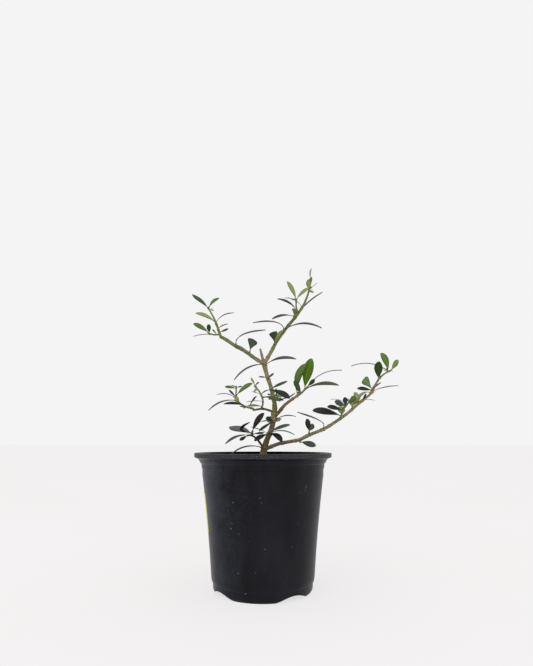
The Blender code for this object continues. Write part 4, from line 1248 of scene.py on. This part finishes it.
def build_leaves(stems, limbs):
    """One mesh for all leaves, with the tones of each spray dealt to its leaves in turn."""
    slots = {name: range(5 * k, 5 * k + 5) for k, name in enumerate(LEAF_TONES)}
    heap = Heap()
    rng = Random(SEED + 4)
    rows = SHOOTS | SPURS
    for mass, leaves in grow_leaves(stems, limbs).items():
        tones = rows[mass.removeprefix("foliage_")][-1].split()
        for shape, number in leaves:
            heap.add(*fine_leaf(shape, slots[tones[number % len(tones)]], rng))
        for shape in sprigs(stems[mass], rng):
            heap.add(*sprig_leaf(shape, slots[rng.choice(SPRIG_TONES)], rng))
    faces_look = {"grain": 220.0, "relief": 0.08, "relief_grain": 1200.0, "share": 0.45, "soft": 0.2}
    edges_look = {"grain": 400.0, "specular": 0.2}
    materials = []
    for name, (upper, under) in LEAF_TONES.items():
        stalk = DARK_STALK if name in DARK_LEAVES else GREEN_STALK
        materials += [
            mottled("leaf_" + name, upper, shade(upper, 0.9), rough=0.45, specular=0.25, **faces_look),
            mottled("under_" + name, under, shade(under, 0.92), rough=0.6, specular=0.2, **faces_look),
            mottled("rib_" + name, shade(upper, 1.3), shade(upper, 1.15), rough=0.55, **edges_look),
            mottled("margin_" + name, shade(upper, 0.78), shade(upper, 0.68), rough=0.5, **edges_look),
            mottled("stalk_" + name, *stalk, grain=700.0, rough=0.6, specular=0.2)]
    leaves = as_piece("leaves", heap, materials)
    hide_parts(*stems)


def build_stage():
    """A plain pale floor, lit through like a studio's light table, large enough to reach the horizon."""
    bpy.ops.mesh.primitive_plane_add(size=FLOOR_SIZE)
    floor = bpy.context.object
    floor.name = "floor"
    paper = mottled("floor_paper", "#7e7d7d", "#7c7c7b", grain=2.0, rough=0.9, relief=0.0, specular=0.0)
    shader = paper.node_tree.nodes["Principled BSDF"]
    shader.inputs["Emission Color"].default_value = linear("#fcfafa")
    shader.inputs["Emission Strength"].default_value = FLOOR_GLOW
    floor.data.materials.append(paper)


def area_light(name, spot, size, power):
    """A soft rectangular light that is aimed at the pot."""
    light = bpy.data.lights.new(name, "AREA")
    light.shape = "RECTANGLE"
    light.size, light.size_y = size
    light.energy = power
    thing = placed(name, light)
    thing.location = spot
    thing.rotation_euler = (LIGHT_AIM - Vector(spot)).to_track_quat("-Z", "Y").to_euler()


def build_lights():
    """A white surround with a soft key from the upper left and a weaker fill from the right."""
    world = bpy.data.worlds.new("surround")
    bpy.context.scene.world = world
    world.use_nodes = True
    sky = world.node_tree.nodes["Background"]
    sky.inputs["Color"].default_value = linear("#f4f4f4")
    area_light("key", (-0.7, -0.9, 1.3), (0.8, 0.8), 2.6)
    area_light("fill", (0.9, -0.5, 0.7), (0.6, 0.9), 0.9)
    bpy.context.scene.view_settings.view_transform = "Standard"


def build_camera():
    camera = bpy.data.cameras.new("camera")
    camera.sensor_width = SENSOR
    camera.lens = FOCAL_PIXELS * SENSOR / PHOTO_HEIGHT
    camera.shift_y = (HORIZON_ROW - 0.5 * PHOTO_HEIGHT) / PHOTO_HEIGHT
    camera.clip_start = 0.01
    thing = placed("camera", camera)
    thing.location = EYE * MM
    thing.rotation_euler = (pi / 2, 0.0, 0.0)
    bpy.context.scene.camera = thing


build_camera()
build_lights()
build_stage()
build_pot()
build_label()
build_dust()
build_soil()
limb_bodies = limb_runs()
leafy_stems = build_runs(limb_bodies)
build_wood(limb_bodies)
build_twigs(leafy_stems)
build_leaves(leafy_stems, limb_bodies)
